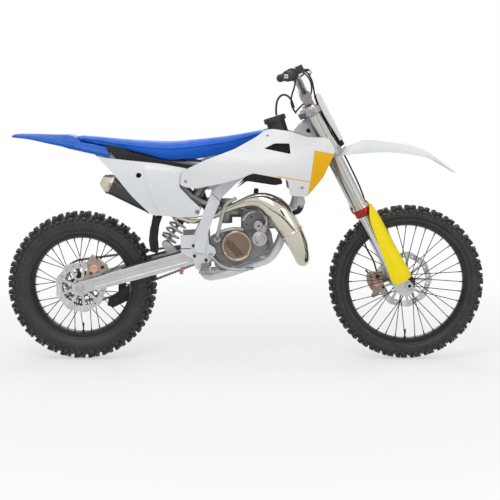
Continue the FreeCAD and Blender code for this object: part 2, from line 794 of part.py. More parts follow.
def make_rear_axle():
    """The hollow rear axle with its head, its nut and the collars that set the wheel's place."""
    outer_y = s.arm_inner_y + s.arm_thickness + s.seat_gap
    end_y = outer_y + s.axle_head_length
    right_y = s.disc_plane_y - s.disc_thickness / 2 - s.seat_gap + s.running_gap
    left_y = s.chain_plane_y - s.sprocket_half_thickness - s.seat_gap + s.running_gap
    axle = crossbar(0, 0, -end_y, end_y, s.axle_radius)
    head = crossbar(0, 0, outer_y, end_y, s.axle_head_radius)
    left_collar = crossbar(0, 0, left_y, s.arm_inner_y - s.seat_gap, s.collar_radius)
    right_collar = crossbar(0, 0, s.seat_gap - s.arm_inner_y, -right_y, s.collar_radius)
    axle = fused([axle, head, mirrored(head), left_collar, right_collar])
    axle = axle.cut(crossbar(0, 0, -end_y, end_y, s.axle_bore_radius))
    axle.translate(point(0, 0, s.rear_axle_height))
    add_solid("rear_axle", axle, bike_placement())


def make_chain_guides():
    """The rubber slider on the left arm and the guide block that the lower run passes through."""
    slider_start = 0.36
    slider_end = 0.98
    slider_wall = 5
    centre_y = s.arm_inner_y + s.arm_thickness / 2
    rise = s.arm_pivot_height / 2 + slider_wall / 2 + s.seat_gap
    normal_turn = math.atan2(s.pivot_z - s.rear_axle_height, s.pivot_x) + math.pi / 2
    lift = point(math.cos(normal_turn) * rise, 0, math.sin(normal_turn) * rise)
    start = arm_centre(slider_start) + lift
    end = arm_centre(slider_end) + lift
    pad = beam(((start, slider_wall, s.arm_thickness), (end, slider_wall, s.arm_thickness)))
    left_pad = mirrored(pad)
    guide_shares = ((0, 0.1), (0.2, 0), (0.9, 0.45), (1, 0.9), (0.72, 1), (0.05, 0.42))
    guide_left = 92
    guide_low = 196
    guide_length = 120
    guide_height = 90
    guide_width = 34
    guide = plate(outline(guide_shares, guide_left, guide_low, guide_length, guide_height,
                          s.chain_plane_y - guide_width / 2), guide_width)
    passage = belt_outline(s.chain_half_height + s.running_gap)
    passage = passage.cut(belt_outline(-s.chain_half_height - s.running_gap))
    hanger_share = 0.31
    hanger_length = 30
    hanger_place = arm_centre(hanger_share)
    hanger_low = guide_low + guide_height / 2
    hanger_y = s.chain_plane_y + s.chain_half_width + 2 * s.running_gap
    hanger = Part.makeBox(hanger_length, s.arm_thickness / 2 + guide_width / 2, hanger_place.z - hanger_low,
                          point(hanger_place.x - hanger_length / 2, hanger_y, hanger_low))
    arm_room = mirrored(swingarm_beam(s.seat_gap))
    guide = fused([guide.cut(passage), hanger.cut(arm_room)])
    add_solid("chain_guides", Part.makeCompound([pad, left_pad] + guide.Solids), bike_placement())


def caliper(side, x, z, length, height, turn):
    """A caliper block straddling its disc, with a slot that leaves the disc free."""
    low_y = side * s.disc_plane_y - s.caliper_width / 2
    block = Part.makeBox(length, s.caliper_width, height, point(-length / 2, low_y, -height / 2))
    slot_half = s.disc_thickness / 2 + s.moving_gap
    reach_share = 0.86
    slot = Part.makeBox(length + 2 * s.cut_overrun, 2 * slot_half, height,
                        point(-length / 2 - s.cut_overrun, side * s.disc_plane_y - slot_half,
                              -height / 2 - height * (1 - reach_share)))
    block = block.cut(slot)
    block.rotate(point(0, 0, 0), mid_plane, turn)
    block.translate(point(x, 0, z))
    return block


def make_rear_caliper():
    """The caliper above the right arm, on its carrier behind the axle collar."""
    block_x = 64
    block_z = 388
    block_length = 74
    block_height = 40
    block_turn = 35
    block = caliper(-1, block_x, block_z, block_length, block_height, block_turn)
    eye_radius = 24
    strut_width = 26
    inner_y = s.disc_plane_y + s.disc_thickness / 2 + s.moving_gap
    outer_y = s.arm_inner_y - s.seat_gap
    eye = crossbar(0, s.rear_axle_height, -outer_y, -inner_y, eye_radius)
    strut_length = math.hypot(block_x, block_z - s.rear_axle_height)
    strut = Part.makeBox(strut_width, outer_y - inner_y, strut_length, point(-strut_width / 2, -outer_y, 0))
    strut.rotate(point(0, 0, 0), mid_plane, math.degrees(math.atan2(block_x, block_z - s.rear_axle_height)))
    strut.translate(point(0, 0, s.rear_axle_height))
    carrier = eye.fuse(strut).cut(crossbar(0, s.rear_axle_height, -s.plate_inner_y, 0,
                                           s.collar_radius + s.seat_gap))
    block = fused([block, carrier])
    add_solid("rear_caliper", block, bike_placement())


# Frame

def spar_stations():
    """The right spar from the pivot plate up to the head tube."""
    shares = (
        (0.364, 0.508, 1.0, 1.0),
        (0.375, 0.607, 1.0, 1.0),
        (0.3915, 0.6755, 1.0, 1.0),
        (0.416, 0.767, 0.95, 1.0),
        (0.465, 0.84, 0.84, 1.0),
        (0.535, 0.912, 0.62, 1.05),
        (0.600, 0.945, 0.40, 1.1),
        (0.682, 0.985, 0.22, 1.15),
    )
    depth = s.plate_inner_y + s.spar_width / 2
    stations = []
    for along, up, across, swell in shares:
        centre = point(along * s.wheelbase, -across * depth, up * s.seat_point_z)
        stations.append((centre, s.spar_height * swell, s.spar_width))
    return stations


def spar_beam(growth):
    """The right spar, or the same spar grown by a clearance."""
    return beam([(centre, height + 2 * growth, width + 2 * growth)
                 for centre, height, width in spar_stations()])


def head_ring(radius, low, height):
    """A round form on the steering axis, placed in the bike."""
    ring = Part.makeCylinder(radius, height, point(0, 0, low))
    ring.Placement = bike_placement().inverse().multiply(fork_placement())
    return ring


def make_main_frame():
    """The twin-spar frame: head tube, spars, pivot plates, down tube, cradle and cross members."""
    head = head_ring(s.head_tube_radius, s.head_tube_low, s.head_tube_length)
    plate_left = 396
    plate_low = 375
    plate_length = 145
    plate_height = 215
    plate_shares = ((0.68, 1), (0.9, 0.94), (0.745, 0.72), (0.77, 0.455), (0.92, 0.39), (0.96, 0.3),
                    (0.89, 0.22), (0.77, 0.12), (0.63, 0.02), (0.41, 0), (0.34, 0.19), (0.26, 0.205),
                    (0.02, 0.31), (0, 0.61), (0.36, 0.62), (0.47, 0.78))
    pivot_plate = plate(outline(plate_shares, plate_left, plate_low, plate_length, plate_height,
                                -s.plate_inner_y - s.plate_thickness), s.plate_thickness)
    down_shares = ((0.7185, 1.037), (0.69, 0.905), (0.668, 0.80), (0.655, 0.72), (0.642, 0.675))
    down = [point(along * s.wheelbase, 0, up * s.seat_point_z) for along, up in down_shares]
    down_swell_share = 1.15
    down_tube = bent_tube(down, s.tube_radius * down_swell_share)
    cradle_shares = ((0.642, 0.0, 0.70), (0.632, 0.43, 0.635), (0.604, 0.48, 0.52), (0.576, 0.49, 0.466),
                     (0.518, 0.5, 0.437), (0.45, 0.72, 0.405), (0.385, 0.82, 0.39), (0.368, 0.88, 0.44))
    depth = s.plate_inner_y + s.plate_thickness / 2
    cradle = [point(along * s.wheelbase, -across * depth, up * s.seat_point_z)
              for along, across, up in cradle_shares]
    cradle_tube = bent_tube(cradle, s.tube_radius)
    tab_share = 3
    front_along, front_across, front_up = cradle_shares[tab_share]
    tab = rod(point(front_along * s.wheelbase, -front_across * depth, front_up * s.seat_point_z),
              point(front_along * s.wheelbase - s.engine_tab_reach, -front_across * depth,
                    front_up * s.seat_point_z + s.engine_tab_reach / 2), s.engine_tab_radius)
    side = [spar_beam(0), pivot_plate, cradle_tube, tab]
    cross = crossbar(s.cross_tube_x, s.cross_tube_z, -s.plate_inner_y, s.plate_inner_y, s.cross_tube_radius)
    eye = shock_point(1)
    ear_inner_y = s.shock_head_half_width + s.seat_gap
    ear_corners = [
        point(s.cross_tube_x, -ear_inner_y - s.tower_wall, s.cross_tube_z - s.cross_tube_radius),
        point(s.cross_tube_x, -ear_inner_y - s.tower_wall, s.cross_tube_z + s.cross_tube_radius),
        point(eye.x - s.shock_head_radius / 2, -ear_inner_y - s.tower_wall, eye.z + s.shock_head_radius),
        point(eye.x - s.shock_head_radius, -ear_inner_y - s.tower_wall, eye.z),
        point(eye.x, -ear_inner_y - s.tower_wall, eye.z - s.shock_head_radius),
    ]
    ear = plate(ear_corners, s.tower_wall)
    ear_outer_y = ear_inner_y + s.tower_wall
    tower_pin = crossbar(eye.x, eye.z, -ear_outer_y, ear_outer_y, s.shock_pin_radius)
    frame = fused([head, down_tube, cross, ear, mirrored(ear), tower_pin] + side
                  + [mirrored(shape) for shape in side])
    engine_room = face(case_outline(0)).makeOffset2D(s.seat_gap)
    engine_room = engine_room.extrude(mid_plane * (s.case_left_y + s.case_right_y + 2 * s.tube_radius))
    engine_room.translate(mid_plane * (-s.case_right_y - s.tube_radius))
    high = s.head_tube_low + s.head_tube_length
    bore = head_ring(s.head_tube_bore, s.head_tube_low + s.bearing_height,
                     s.head_tube_length - 2 * s.bearing_height)
    stem_room = head_ring(s.stem_radius + s.seat_gap, s.head_tube_low - s.cut_overrun, high - s.head_tube_low
                          + 2 * s.cut_overrun)
    flywheel_room = crossbar(s.flywheel_x, s.flywheel_z, s.case_left_y - s.seat_gap,
                             s.case_left_y + s.flywheel_depth + s.seat_gap, s.flywheel_radius + s.seat_gap)
    frame = frame.cut([engine_room, flywheel_room, bore, stem_room])
    pin_y = s.plate_inner_y + s.plate_thickness
    pin = crossbar(s.pivot_x, s.pivot_z, -pin_y, pin_y, s.pivot_pin_radius)
    add_solid("main_frame", frame.fuse(pin), bike_placement())


def rail_under_seat(x, y_share):
    """A point of the upper rail's axis where the rail lies against the seat's base."""
    slope_share = 1.1
    return point(x, y_share * s.wheelbase, seat_base(x) - s.rail_radius * slope_share - s.seat_gap)


def rear_rail_points():
    """The right upper rail's route, from the spar back under the seat and the rear fender."""
    front_shares = ((0.4574, -0.05605, 0.8487), (0.4186, -0.0512, 0.8834), (0.3535, -0.048, 0.908))
    front = [point(along * s.wheelbase, across * s.wheelbase, up * s.seat_point_z)
             for along, across, up in front_shares]
    middle = [rail_under_seat(s.seat_rear_x + along * s.seat_length, across)
              for along, across in ((0.48, -0.046), (0.28, -0.046))]
    rear_shares = ((0.0946, -0.0420, 0.9356), (0.0543, -0.0388, 0.9474))
    rear = [point(along * s.wheelbase, across * s.wheelbase, up * s.seat_point_z)
            for along, across, up in rear_shares]
    return front + middle + rear


def lower_rail_points():
    """The right lower rail's route, from the spar up to the upper rail."""
    shares = ((0.4062, -0.0674, 0.7252), (0.38, -0.0674, 0.7298), (0.341, -0.0512, 0.7564))
    lower = [point(along * s.wheelbase, across * s.wheelbase, up * s.seat_point_z)
             for along, across, up in shares]
    meeting_share = 0.36
    under_seat = rear_rail_points()[3:5]
    return lower + [under_seat[0] + (under_seat[1] - under_seat[0]) * meeting_share]


def make_subframe():
    """Two pairs of light rails that carry the seat and the rear fender."""
    bend_share = 0.1
    upper = rear_rail_points()
    rails = [bent_tube(upper, s.rail_radius, bend_share),
             bent_tube(lower_rail_points(), s.rail_radius, bend_share)]
    tie = crossbar(upper[-1].x, upper[-1].z, upper[-1].y, -upper[-1].y, s.rail_radius)
    add_solid("subframe", fused(rails + [mirrored(rail) for rail in rails] + [tie]), bike_placement())


# Engine

def case_outline(y):
    """The side outline of the crankcase at a place across the bike."""
    case_shares = ((0, 0.42), (0.04, 0.22), (0.12, 0.12), (0.2, 0.12), (0.333, 0.21), (0.617, 0.34),
                   (0.80, 0.44), (0.95, 0.60), (1, 0.72), (0.975, 0.9), (0.93, 1), (0.46, 1),
                   (0.32, 0.92), (0.06, 0.93), (-0.02, 0.7))
    return outline(case_shares, s.case_left, s.case_low, s.case_length, s.case_height, y)


def make_crankcase():
    """The crankcase and gearbox with the side cover, the flywheel housing and the output shaft."""
    case = plate(case_outline(-s.case_right_y), s.case_left_y + s.case_right_y)
    cover_shares = ((-0.02, 0.72), (0.03, 0.52), (0.08, 0.36), (0.2, 0.22), (0.42, 0.24), (0.62, 0.36),
                    (0.86, 0.52), (0.93, 0.70), (0.84, 0.9), (0.5, 0.95), (0.3, 0.98), (0.12, 0.94))
    cover = plate(outline(cover_shares, s.case_left, s.case_low, s.case_length, s.case_height,
                          -s.case_right_y - s.cover_thickness), s.cover_thickness)
    bevel = 6
    outer_edges = [edge for edge in cover.Edges
                   if edge.BoundBox.YMax < -s.case_right_y - s.cover_thickness / 2]
    cover = cover.makeChamfer(bevel, outer_edges)
    flywheel = crossbar(s.flywheel_x, s.flywheel_z, s.case_left_y, s.case_left_y + s.flywheel_depth,
                        s.flywheel_radius)
    shaft_end = s.chain_plane_y + s.sprocket_half_thickness + s.running_gap
    shaft = crossbar(s.drive_sprocket_x, s.drive_sprocket_z, s.case_left_y, shaft_end, s.output_shaft_radius)
    collar_end = s.chain_plane_y - s.sprocket_half_thickness - s.seat_gap
    collar_share = 1.5
    collar = crossbar(s.drive_sprocket_x, s.drive_sprocket_z, s.case_left_y, collar_end,
                      s.output_shaft_radius * collar_share)
    add_solid("crankcase", fused([case, cover, flywheel, shaft, collar]), bike_placement())


def make_clutch_cover():
    """The round bronze cover with its raised rim."""
    cover_x = 615
    cover_z = 466
    cover_radius = 61
    cover_depth = 13
    cover_y = -s.case_right_y - s.cover_thickness - s.seat_gap
    bevel = 5
    rim_width = 8
    rim_depth = 2.5
    cover = crossbar(cover_x, cover_z, cover_y - cover_depth, cover_y, cover_radius)
    edge = [item for item in cover.Edges if abs(item.BoundBox.YMax - (cover_y - cover_depth)) < rim_depth
            and item.Closed]
    cover = cover.makeChamfer(bevel, edge)
    recess = crossbar(cover_x, cover_z, cover_y - cover_depth - s.cut_overrun,
                      cover_y - cover_depth + rim_depth, cover_radius - bevel - rim_width)
    add_solid("clutch_cover", cover.cut(recess), bike_placement())


def make_cylinder():
    """The water-cooled cylinder with its head and the exhaust valve cover at its front."""
    base_x = 632
    base_z = s.case_low + s.case_height + s.seat_gap
    barrel_length = 112
    barrel_width = 104
    barrel_height = 84
    head_height = 26
    head_shrink = 10
    barrel = Part.makeBox(barrel_length, barrel_width, barrel_height,
                          point(base_x, -barrel_width / 2, base_z))
    corner = 14
    barrel = barrel.makeFillet(corner, [edge for edge in barrel.Edges
                                        if abs(edge.BoundBox.ZLength - barrel_height) < s.running_gap])
    head = Part.makeCylinder(barrel_width / 2 - head_shrink, head_height,
                             point(base_x + barrel_length / 2, 0, base_z + barrel_height))
    port_radius = 23
    port_length = 22
    port_share = 0.3
    port_z = base_z + barrel_height * port_share
    port = rod(point(base_x + barrel_length - s.cut_overrun, 0, port_z),
               point(base_x + barrel_length + port_length, 0, port_z), port_radius)
    valve_radius = 20
    valve_height_share = 0.25
    valve_length_share = 0.62
    valve_z = base_z + barrel_height * valve_height_share
    valve_x = base_x + barrel_length * valve_length_share
    valve = crossbar(valve_x, valve_z, -barrel_width / 2 - port_length, 0, valve_radius)
    bolt_radius = 6
    bolt_height = 9
    bolts = []
    bolt_count = 6
    bolt_sides = 6
    bolt_reach = barrel_width / 2 - head_shrink - 2 * bolt_radius
    for index in range(bolt_count):
        turn = 2 * math.pi * (index + 0.5) / bolt_count
        place = point(base_x + barrel_length / 2 + bolt_reach * math.cos(turn), bolt_reach * math.sin(turn),
                      base_z + barrel_height + head_height)
        ring = even_ring(place, point(1, 0, 0), mid_plane, bolt_radius, bolt_sides)
        bolts.append(Part.Face(ring).extrude(point(0, 0, bolt_height)))
    add_solid("cylinder", fused([barrel, head, port, valve] + bolts), bike_placement())


def make_carburettor():
    """The carburettor with its round bowl and the boot to the cylinder."""
    body_x = 572
    body_z = 590
    body_radius = 26
    throat_radius = 22
    throat_length = 40
    reach_front = 59.7
    tilt = 6
    top_height = 52
    bowl_height = 44
    throat = rod(point(body_x - throat_length, 0, body_z + tilt), point(body_x, 0, body_z), throat_radius)
    boot = rod(point(body_x, 0, body_z), point(body_x + reach_front, 0, body_z), throat_radius)
    column = Part.makeCylinder(body_radius, top_height + bowl_height, point(body_x, 0, body_z - bowl_height))
    add_solid("carburettor", fused([throat, boot, column]), bike_placement())


def make_exhaust_pipe():
    """The expansion chamber: a loop in front of the engine, the swelling cone and the tail."""
    stations = (
        (0.5942, 0.0, 0.630, 17),
        (0.6095, 0.0, 0.630, 17.5),
        (0.627, 0.003, 0.602, 18),
        (0.645, 0.009, 0.561, 19),
        (0.660, 0.013, 0.518, 20),
        (0.671, 0.012, 0.486, 21.5),
        (0.678, 0.002, 0.467, 23.5),
        (0.680, -0.019, 0.462, 26),
        (0.677, -0.045, 0.476, 29),
        (0.669, -0.067, 0.514, 34),
        (0.655, -0.081, 0.565, 40),
        (0.634, -0.087, 0.622, 45),
        (0.600, -0.087, 0.694, 49),
        (0.563, -0.082, 0.733, 39),
        (0.527, -0.077, 0.741, 27),
        (0.490, -0.071, 0.726, 18),
        (0.452, -0.066, 0.704, 13),
    )
    points = [point(along * s.wheelbase, across * s.wheelbase, up * s.seat_point_z)
              for along, across, up, radius in stations]
    radii = [radius for along, across, up, radius in stations]
    chamber = cone_pipe(points, radii)
    tail_points = [points[-1]]
    tail_shares = ((0.410, -0.062, 0.674), (0.366, -0.062, 0.655), (0.334, -0.070, 0.654))
    for along, across, up in tail_shares:
        tail_points.append(point(along * s.wheelbase, across * s.wheelbase, up * s.seat_point_z))
    neck_end = (s.silencer_cap_length + s.silencer_can_length + s.silencer_cone_length
                + s.silencer_neck_length + s.seat_gap)
    lead_share = 0.16
    tail_points += [silencer_point(neck_end * (1 + lead_share)), silencer_point(neck_end)]
    tail = bent_tube(tail_points, radii[-1])
    add_solid("exhaust_pipe", fused([chamber, tail]), bike_placement())


def silencer_point(distance):
    """A point on the silencer's axis, measured forward from its rear end."""
    dive = math.radians(s.silencer_dive_angle)
    return point(s.silencer_rear_x + distance * math.cos(dive), s.silencer_y,
                 s.silencer_rear_z - distance * math.sin(dive))


def make_silencer():
    """The silencer can with its conical front and its polished end cap."""
    cap_end = s.silencer_cap_length
    can_end = cap_end + s.silencer_can_length
    cone_end = can_end + s.silencer_cone_length
    neck_end = cone_end + s.silencer_neck_length
    outlet = s.silencer_outlet_radius + s.silencer_outlet_wall
    places = [silencer_point(distance) for distance in (0, cap_end, can_end, cone_end, neck_end)]
    radii = (outlet, s.silencer_can_radius, s.silencer_can_radius,
             s.silencer_neck_radius, s.silencer_neck_radius)
    silencer = cone_pipe(places, radii)
    silencer = silencer.cut(rod(places[0], silencer_point(s.silencer_outlet_depth), s.silencer_outlet_radius))
    bracket_share = 0.55
    bracket_place = silencer_point(cap_end + s.silencer_can_length * bracket_share)
    bracket = Part.makeBox(s.silencer_bracket_length, s.silencer_bracket_wall, s.silencer_bracket_height,
                           point(bracket_place.x - s.silencer_bracket_length / 2,
                                 s.silencer_y + s.silencer_can_radius - s.silencer_bracket_inset,
                                 bracket_place.z))
    silencer = silencer.fuse(bracket)
    add_solid("silencer", silencer, bike_placement())


# Seat, tank and moulded panels

def seat_stations():
    """Stations along the seat: place, half width, top, base and side edge, as shares of its length."""
    return (
        (0.0, 0.078, 0.152, 0.126, 0.138),
        (0.10, 0.091, 0.143, 0.1062, 0.121),
        (0.197, 0.102, 0.134, 0.087, 0.102),
        (0.28, 0.119, 0.127, 0.0735, 0.09),
        (0.38, 0.134, 0.1205, 0.04975, 0.075),
        (0.48, 0.140, 0.118, 0.026, 0.066),
        (0.555, 0.136, 0.121, 0.028, 0.070),
        (0.63, 0.125, 0.128, 0.030, 0.078),
        (0.715, 0.108, 0.1365, 0.046, 0.090),
        (0.80, 0.091, 0.147, 0.062, 0.105),
        (0.90, 0.077, 0.1635, 0.109, 0.136),
        (1.0, 0.068, 0.184, 0.156, 0.170),
    )


def seat_base(x):
    """The height of the seat's flat base above a place along the bike."""
    place_share = (x - s.seat_rear_x) / s.seat_length
    stations = seat_stations()
    for before, after in zip(stations, stations[1:]):
        if before[0] <= place_share <= after[0]:
            run = (place_share - before[0]) / (after[0] - before[0])
            return s.seat_low_z + s.seat_length * (before[3] + (after[3] - before[3]) * run)
    raise RuntimeError("There is no seat above this place")


def make_seat():
    """The long seat, plain here, wide at its middle and narrow towards the tank."""
    bulge_share = 1.04
    crown_share = 0.62
    crown_rise_share = 0.004
    sections = []
    for along, half, top, base, edge in seat_stations():
        x = s.seat_rear_x + along * s.seat_length
        width = half * s.seat_length
        top_z = s.seat_low_z + top * s.seat_length
        edge_z = s.seat_low_z + edge * s.seat_length
        base_z = s.seat_low_z + base * s.seat_length
        right = [point(x, -width, base_z), point(x, -width * bulge_share, edge_z),
                 point(x, -width * crown_share, top_z)]
        middle = [point(x, 0, top_z + crown_rise_share * s.seat_length)]
        sections.append(right + middle + [point(corner.x, -corner.y, corner.z) for corner in right[::-1]])
    add_solid("seat", moulding(sections, True), bike_placement())


def make_rear_fender():
    """The rear fender, a thin ribbed arch that reaches back over the tyre."""
    tip_x = -264
    front_x = 100
    steps = 8
    stations = (
        (0.0, 0.115, -0.013, 0.008),
        (0.05, 0.16, 0.008, 0.03),
        (0.445, 0.25, 0.003, 0.11),
        (0.663, 0.265, -0.004, 0.164),
        (0.697, 0.26, -0.093, 0.117),
        (1.0, 0.255, -0.145, 0.095),
    )
    length = front_x - tip_x
    top = 894
    sections = []
    for along, half, lift, drop in stations:
        sections.append(arch_section(tip_x + along * length, half * length, top + lift * length,
                                     drop * length, s.plastic_wall, steps))
    add_solid("rear_fender", moulding(sections, True), bike_placement())


def skin(stations, wall):
    """A curved wall through columns of points, each given by x and by height and width pairs."""
    sections = []
    for x, low, high, bulges in stations:
        outer = []
        for index, bulge in enumerate(bulges):
            height = low + (high - low) * index / (len(bulges) - 1)
            outer.append(point(x, -bulge, height))
        inner = [corner + point(0, wall, 0) for corner in outer]
        sections.append(outer + inner[::-1])
    return moulding(sections)


def make_side_panels():
    """The two thin side panels under the seat, cut from a bowed wall to their outline."""
    left = 75
    low = 578
    length = 405
    height = 238
    bow = (
        (-0.05, -0.05, 1.05, (0.30, 0.31, 0.30, 0.27)),
        (0.35, -0.05, 1.05, (0.335, 0.37, 0.365, 0.32)),
        (0.70, -0.05, 1.05, (0.33, 0.37, 0.37, 0.33)),
        (1.05, -0.05, 1.05, (0.30, 0.33, 0.33, 0.30)),
    )
    stations = [(left + along * length, low + start * height, low + end * height,
                 [share * length for share in bulges]) for along, start, end, bulges in bow]
    wall = skin(stations, s.plastic_wall)
    shares = ((0, 0.99), (0.16, 0.96), (0.605, 0.89), (0.87, 0.80), (0.805, 0.73), (0.79, 0.52),
              (0.875, 0.345), (1, 0.15), (0.97, 0.01), (0.84, 0), (0.67, 0.02), (0.52, 0.05),
              (0.33, 0.37), (0.16, 0.72))
    depth = 0.5 * length
    cutter = plate(outline(shares, left, low, length, height, -depth), depth)
    boss_share = 0.41
    run = lower_rail_points()[2:4]
    foot = run[0] + (run[1] - run[0]) * boss_share
    boss_y = foot.y - s.rail_radius - s.seat_gap
    reach = bow[1][3][1] * length
    boss = rod(point(foot.x, boss_y, foot.z), point(foot.x, -reach + s.plastic_wall / 2, foot.z),
               s.boss_radius)
    panel = fused([wall.common(cutter), boss])
    add_solid("side_panels", both_sides(panel), bike_placement())


def make_radiator_shrouds():
    """The two shrouds that run from the seat to the radiators, with a vent at the top."""
    left = 397
    low = 662
    length = 597
    height = 260
    bow = (
        (-0.04, -0.05, 1.05, (0.245, 0.255, 0.255, 0.21, 0.16)),
        (0.22, -0.05, 1.05, (0.25, 0.27, 0.26, 0.21, 0.15)),
        (0.50, -0.05, 1.05, (0.26, 0.295, 0.285, 0.22, 0.145)),
        (0.78, -0.05, 1.05, (0.28, 0.315, 0.305, 0.25, 0.175)),
        (1.04, -0.05, 1.05, (0.265, 0.29, 0.29, 0.265, 0.22)),
    )
    stations = [(left + along * length, low + start * height, low + end * height,
                 [share * length for share in bulges]) for along, start, end, bulges in bow]
    wall = skin(stations, s.plastic_wall)
    shares = ((0.012, 0.365), (0.052, 0.42), (0.15, 0.53), (0.357, 0.71), (0.494, 0.88), (0.551, 0.975),
              (0.598, 1), (0.712, 0.96), (0.816, 0.88), (0.955, 0.87), (1, 0.69), (0.983, 0.59),
              (0.92, 0.29), (0.816, 0), (0.707, 0.025), (0.695, 0.26), (0.47, 0.353), (0.39, 0.273),
              (0.265, 0.196), (0.104, 0.12), (0.034, 0.142), (0, 0.18))
    depth = 0.35 * length
    cutter = plate(outline(shares, left, low, length, height, -depth), depth)
    vent_shares = ((0.541, 0.71), (0.61, 0.79), (0.707, 0.79), (0.712, 0.635))
    vent = plate(outline(vent_shares, left, low, length, height, -depth), depth)
    boss_x_share = 0.782
    boss_z_share = 0.15
    reach = bow[3][3][1] * length
    boss_x = left + boss_x_share * length
    boss_z = low + boss_z_share * height
    boss = rod(point(boss_x, -s.radiator_outer_y - s.seat_gap, boss_z),
               point(boss_x, -reach + s.plastic_wall / 2, boss_z), s.boss_radius)
    panel = fused([wall.common(cutter).cut(vent), boss])
    add_solid("radiator_shrouds", both_sides(panel), bike_placement())


def make_fuel_tank():
    """The black tank between the spars, with its filler neck and cap."""
    tank_rear = 610
    tank_low = 760
    tank_length = 250
    shares = (
        (0, 0.144, 0.04, 0.16, 0.16, 0.264),
        (0.36, 0.16, 0.02, 0.256, 0.216, 0.432),
        (0.608, 0.104, 0.12, 0.38, 0.232, 0.568),
        (0.912, 0.048, 0.368, 0.504, 0.2, 0.584),
        (0.992, 0.032, 0.44, 0.52, 0.152, 0.568),
    )
    chamfer_share = 0.4
    sections = []
    for row in shares:
        along, keel, low, shoulder, half, high = [share * tank_length for share in row]
        chamfer = half * chamfer_share
        right = [(-keel, low), (-keel, shoulder - (half - keel) / 2), (-half, shoulder),
                 (-half, high - chamfer / 2), (-half + chamfer, high)]
        right = [point(tank_rear + along, y, tank_low + up) for y, up in right]
        left = [point(corner.x, -corner.y, corner.z) for corner in right[::-1]]
        sections.append(right + left)
    tank = moulding(sections, True)
    neck_x_share = 0.72
    neck_z_share = 0.48
    neck_x = tank_rear + neck_x_share * tank_length
    neck_z = tank_low + neck_z_share * tank_length
    neck_radius = 37
    neck_height = 66
    cap_radius = 40
    cap_height = 22
    lean_share = 0.32
    top = point(neck_x - lean_share * neck_height, 0, neck_z + neck_height)
    direction = (top - point(neck_x, 0, neck_z)).normalize()
    neck = rod(point(neck_x, 0, neck_z), top, neck_radius)
    cap = rod(top, top + direction * cap_height, cap_radius)
    pad_length = 30
    pad_x_share = 0.58
    pad_y = 45
    pad_half = 7
    pad = Part.makeBox(pad_length, 2 * pad_half, neck_z - pad_half - tank_low,
                       point(tank_rear + pad_x_share * tank_length, -pad_y - pad_half, tank_low))
    pad = pad.cut(spar_beam(s.seat_gap))
    pad = [piece for piece in pad.Solids if piece.BoundBox.ZMax > neck_z - 2 * pad_half][0]
    ribs = []
    rib_count = 12
    for index in range(rib_count):
        turn = 2 * math.pi * index / rib_count
        rib = rod(top + direction * s.cut_overrun, top + direction * (cap_height - s.cut_overrun),
                  s.cap_rib_radius)
        rib.translate(cross_directions(direction)[0] * (cap_radius * math.cos(turn))
                      + cross_directions(direction)[1] * (cap_radius * math.sin(turn)))
        ribs.append(rib)
    add_solid("fuel_tank", fused([tank, neck, cap, pad, mirrored(pad)] + ribs), bike_placement())


def make_radiators():
    """The two finned radiators in front of the tank, hung from the spars by their top brackets."""
    depth = s.radiator_depth
    height = s.radiator_height
    inner_y = s.radiator_inner_y
    outer_y = s.radiator_outer_y
    left = s.radiator_front_x - depth
    end_share = 0.15
    end_height = height * end_share
    low_tank = Part.makeBox(depth, outer_y - inner_y, end_height, point(left, -outer_y, s.radiator_low_z))
    high_tank = Part.makeBox(depth, outer_y - inner_y, end_height,
                             point(left, -outer_y, s.radiator_low_z + height - end_height))
    corner_share = 0.18
    corner = depth * corner_share
    low_tank = low_tank.makeChamfer(corner, [edge for edge in low_tank.Edges
                                             if edge.BoundBox.YLength > depth])
    high_tank = high_tank.makeChamfer(corner, [edge for edge in high_tank.Edges
                                               if edge.BoundBox.YLength > depth])
    core_share = 0.8
    fin_share = 0.45
    fins = 14
    core_depth = depth * core_share
    core_low = s.radiator_low_z + end_height - s.cut_overrun
    core_height = height - 2 * end_height + 2 * s.cut_overrun
    core_left = left + (depth - core_depth) / 2
    groove_depth = core_depth * (1 - fin_share) / 2
    pitch = (outer_y - inner_y) / fins
    profile = []
    for index in range(fins):
        start = -outer_y + index * pitch
        profile += [point(core_left, start, core_low), point(core_left, start + pitch / 2, core_low),
                    point(core_left + groove_depth, start + pitch / 2, core_low),
                    point(core_left + groove_depth, start + pitch, core_low)]
    front = [point(2 * core_left + core_depth - corner.x, corner.y, corner.z) for corner in profile[::-1]]
    core = face(profile + front).extrude(point(0, 0, core_height))
    bracket_wall_share = 0.55
    bracket_x = left + depth * (1 - bracket_wall_share) / 2
    bracket_low = s.radiator_low_z + height - end_height
    bracket_reach_share = 1.15
    bracket_reach_y = s.spar_width * bracket_reach_share
    bracket_length = inner_y - bracket_reach_y + corner
    bracket = Part.makeBox(depth * bracket_wall_share, bracket_length, s.radiator_bracket_height,
                           point(bracket_x, -inner_y - corner, bracket_low))
    bracket = bracket.cut(spar_beam(s.seat_gap))
    bracket = [piece for piece in bracket.Solids if piece.BoundBox.YMin < -inner_y][0]
    add_solid("radiators", both_sides(fused([low_tank, core, high_tank, bracket])), bike_placement())


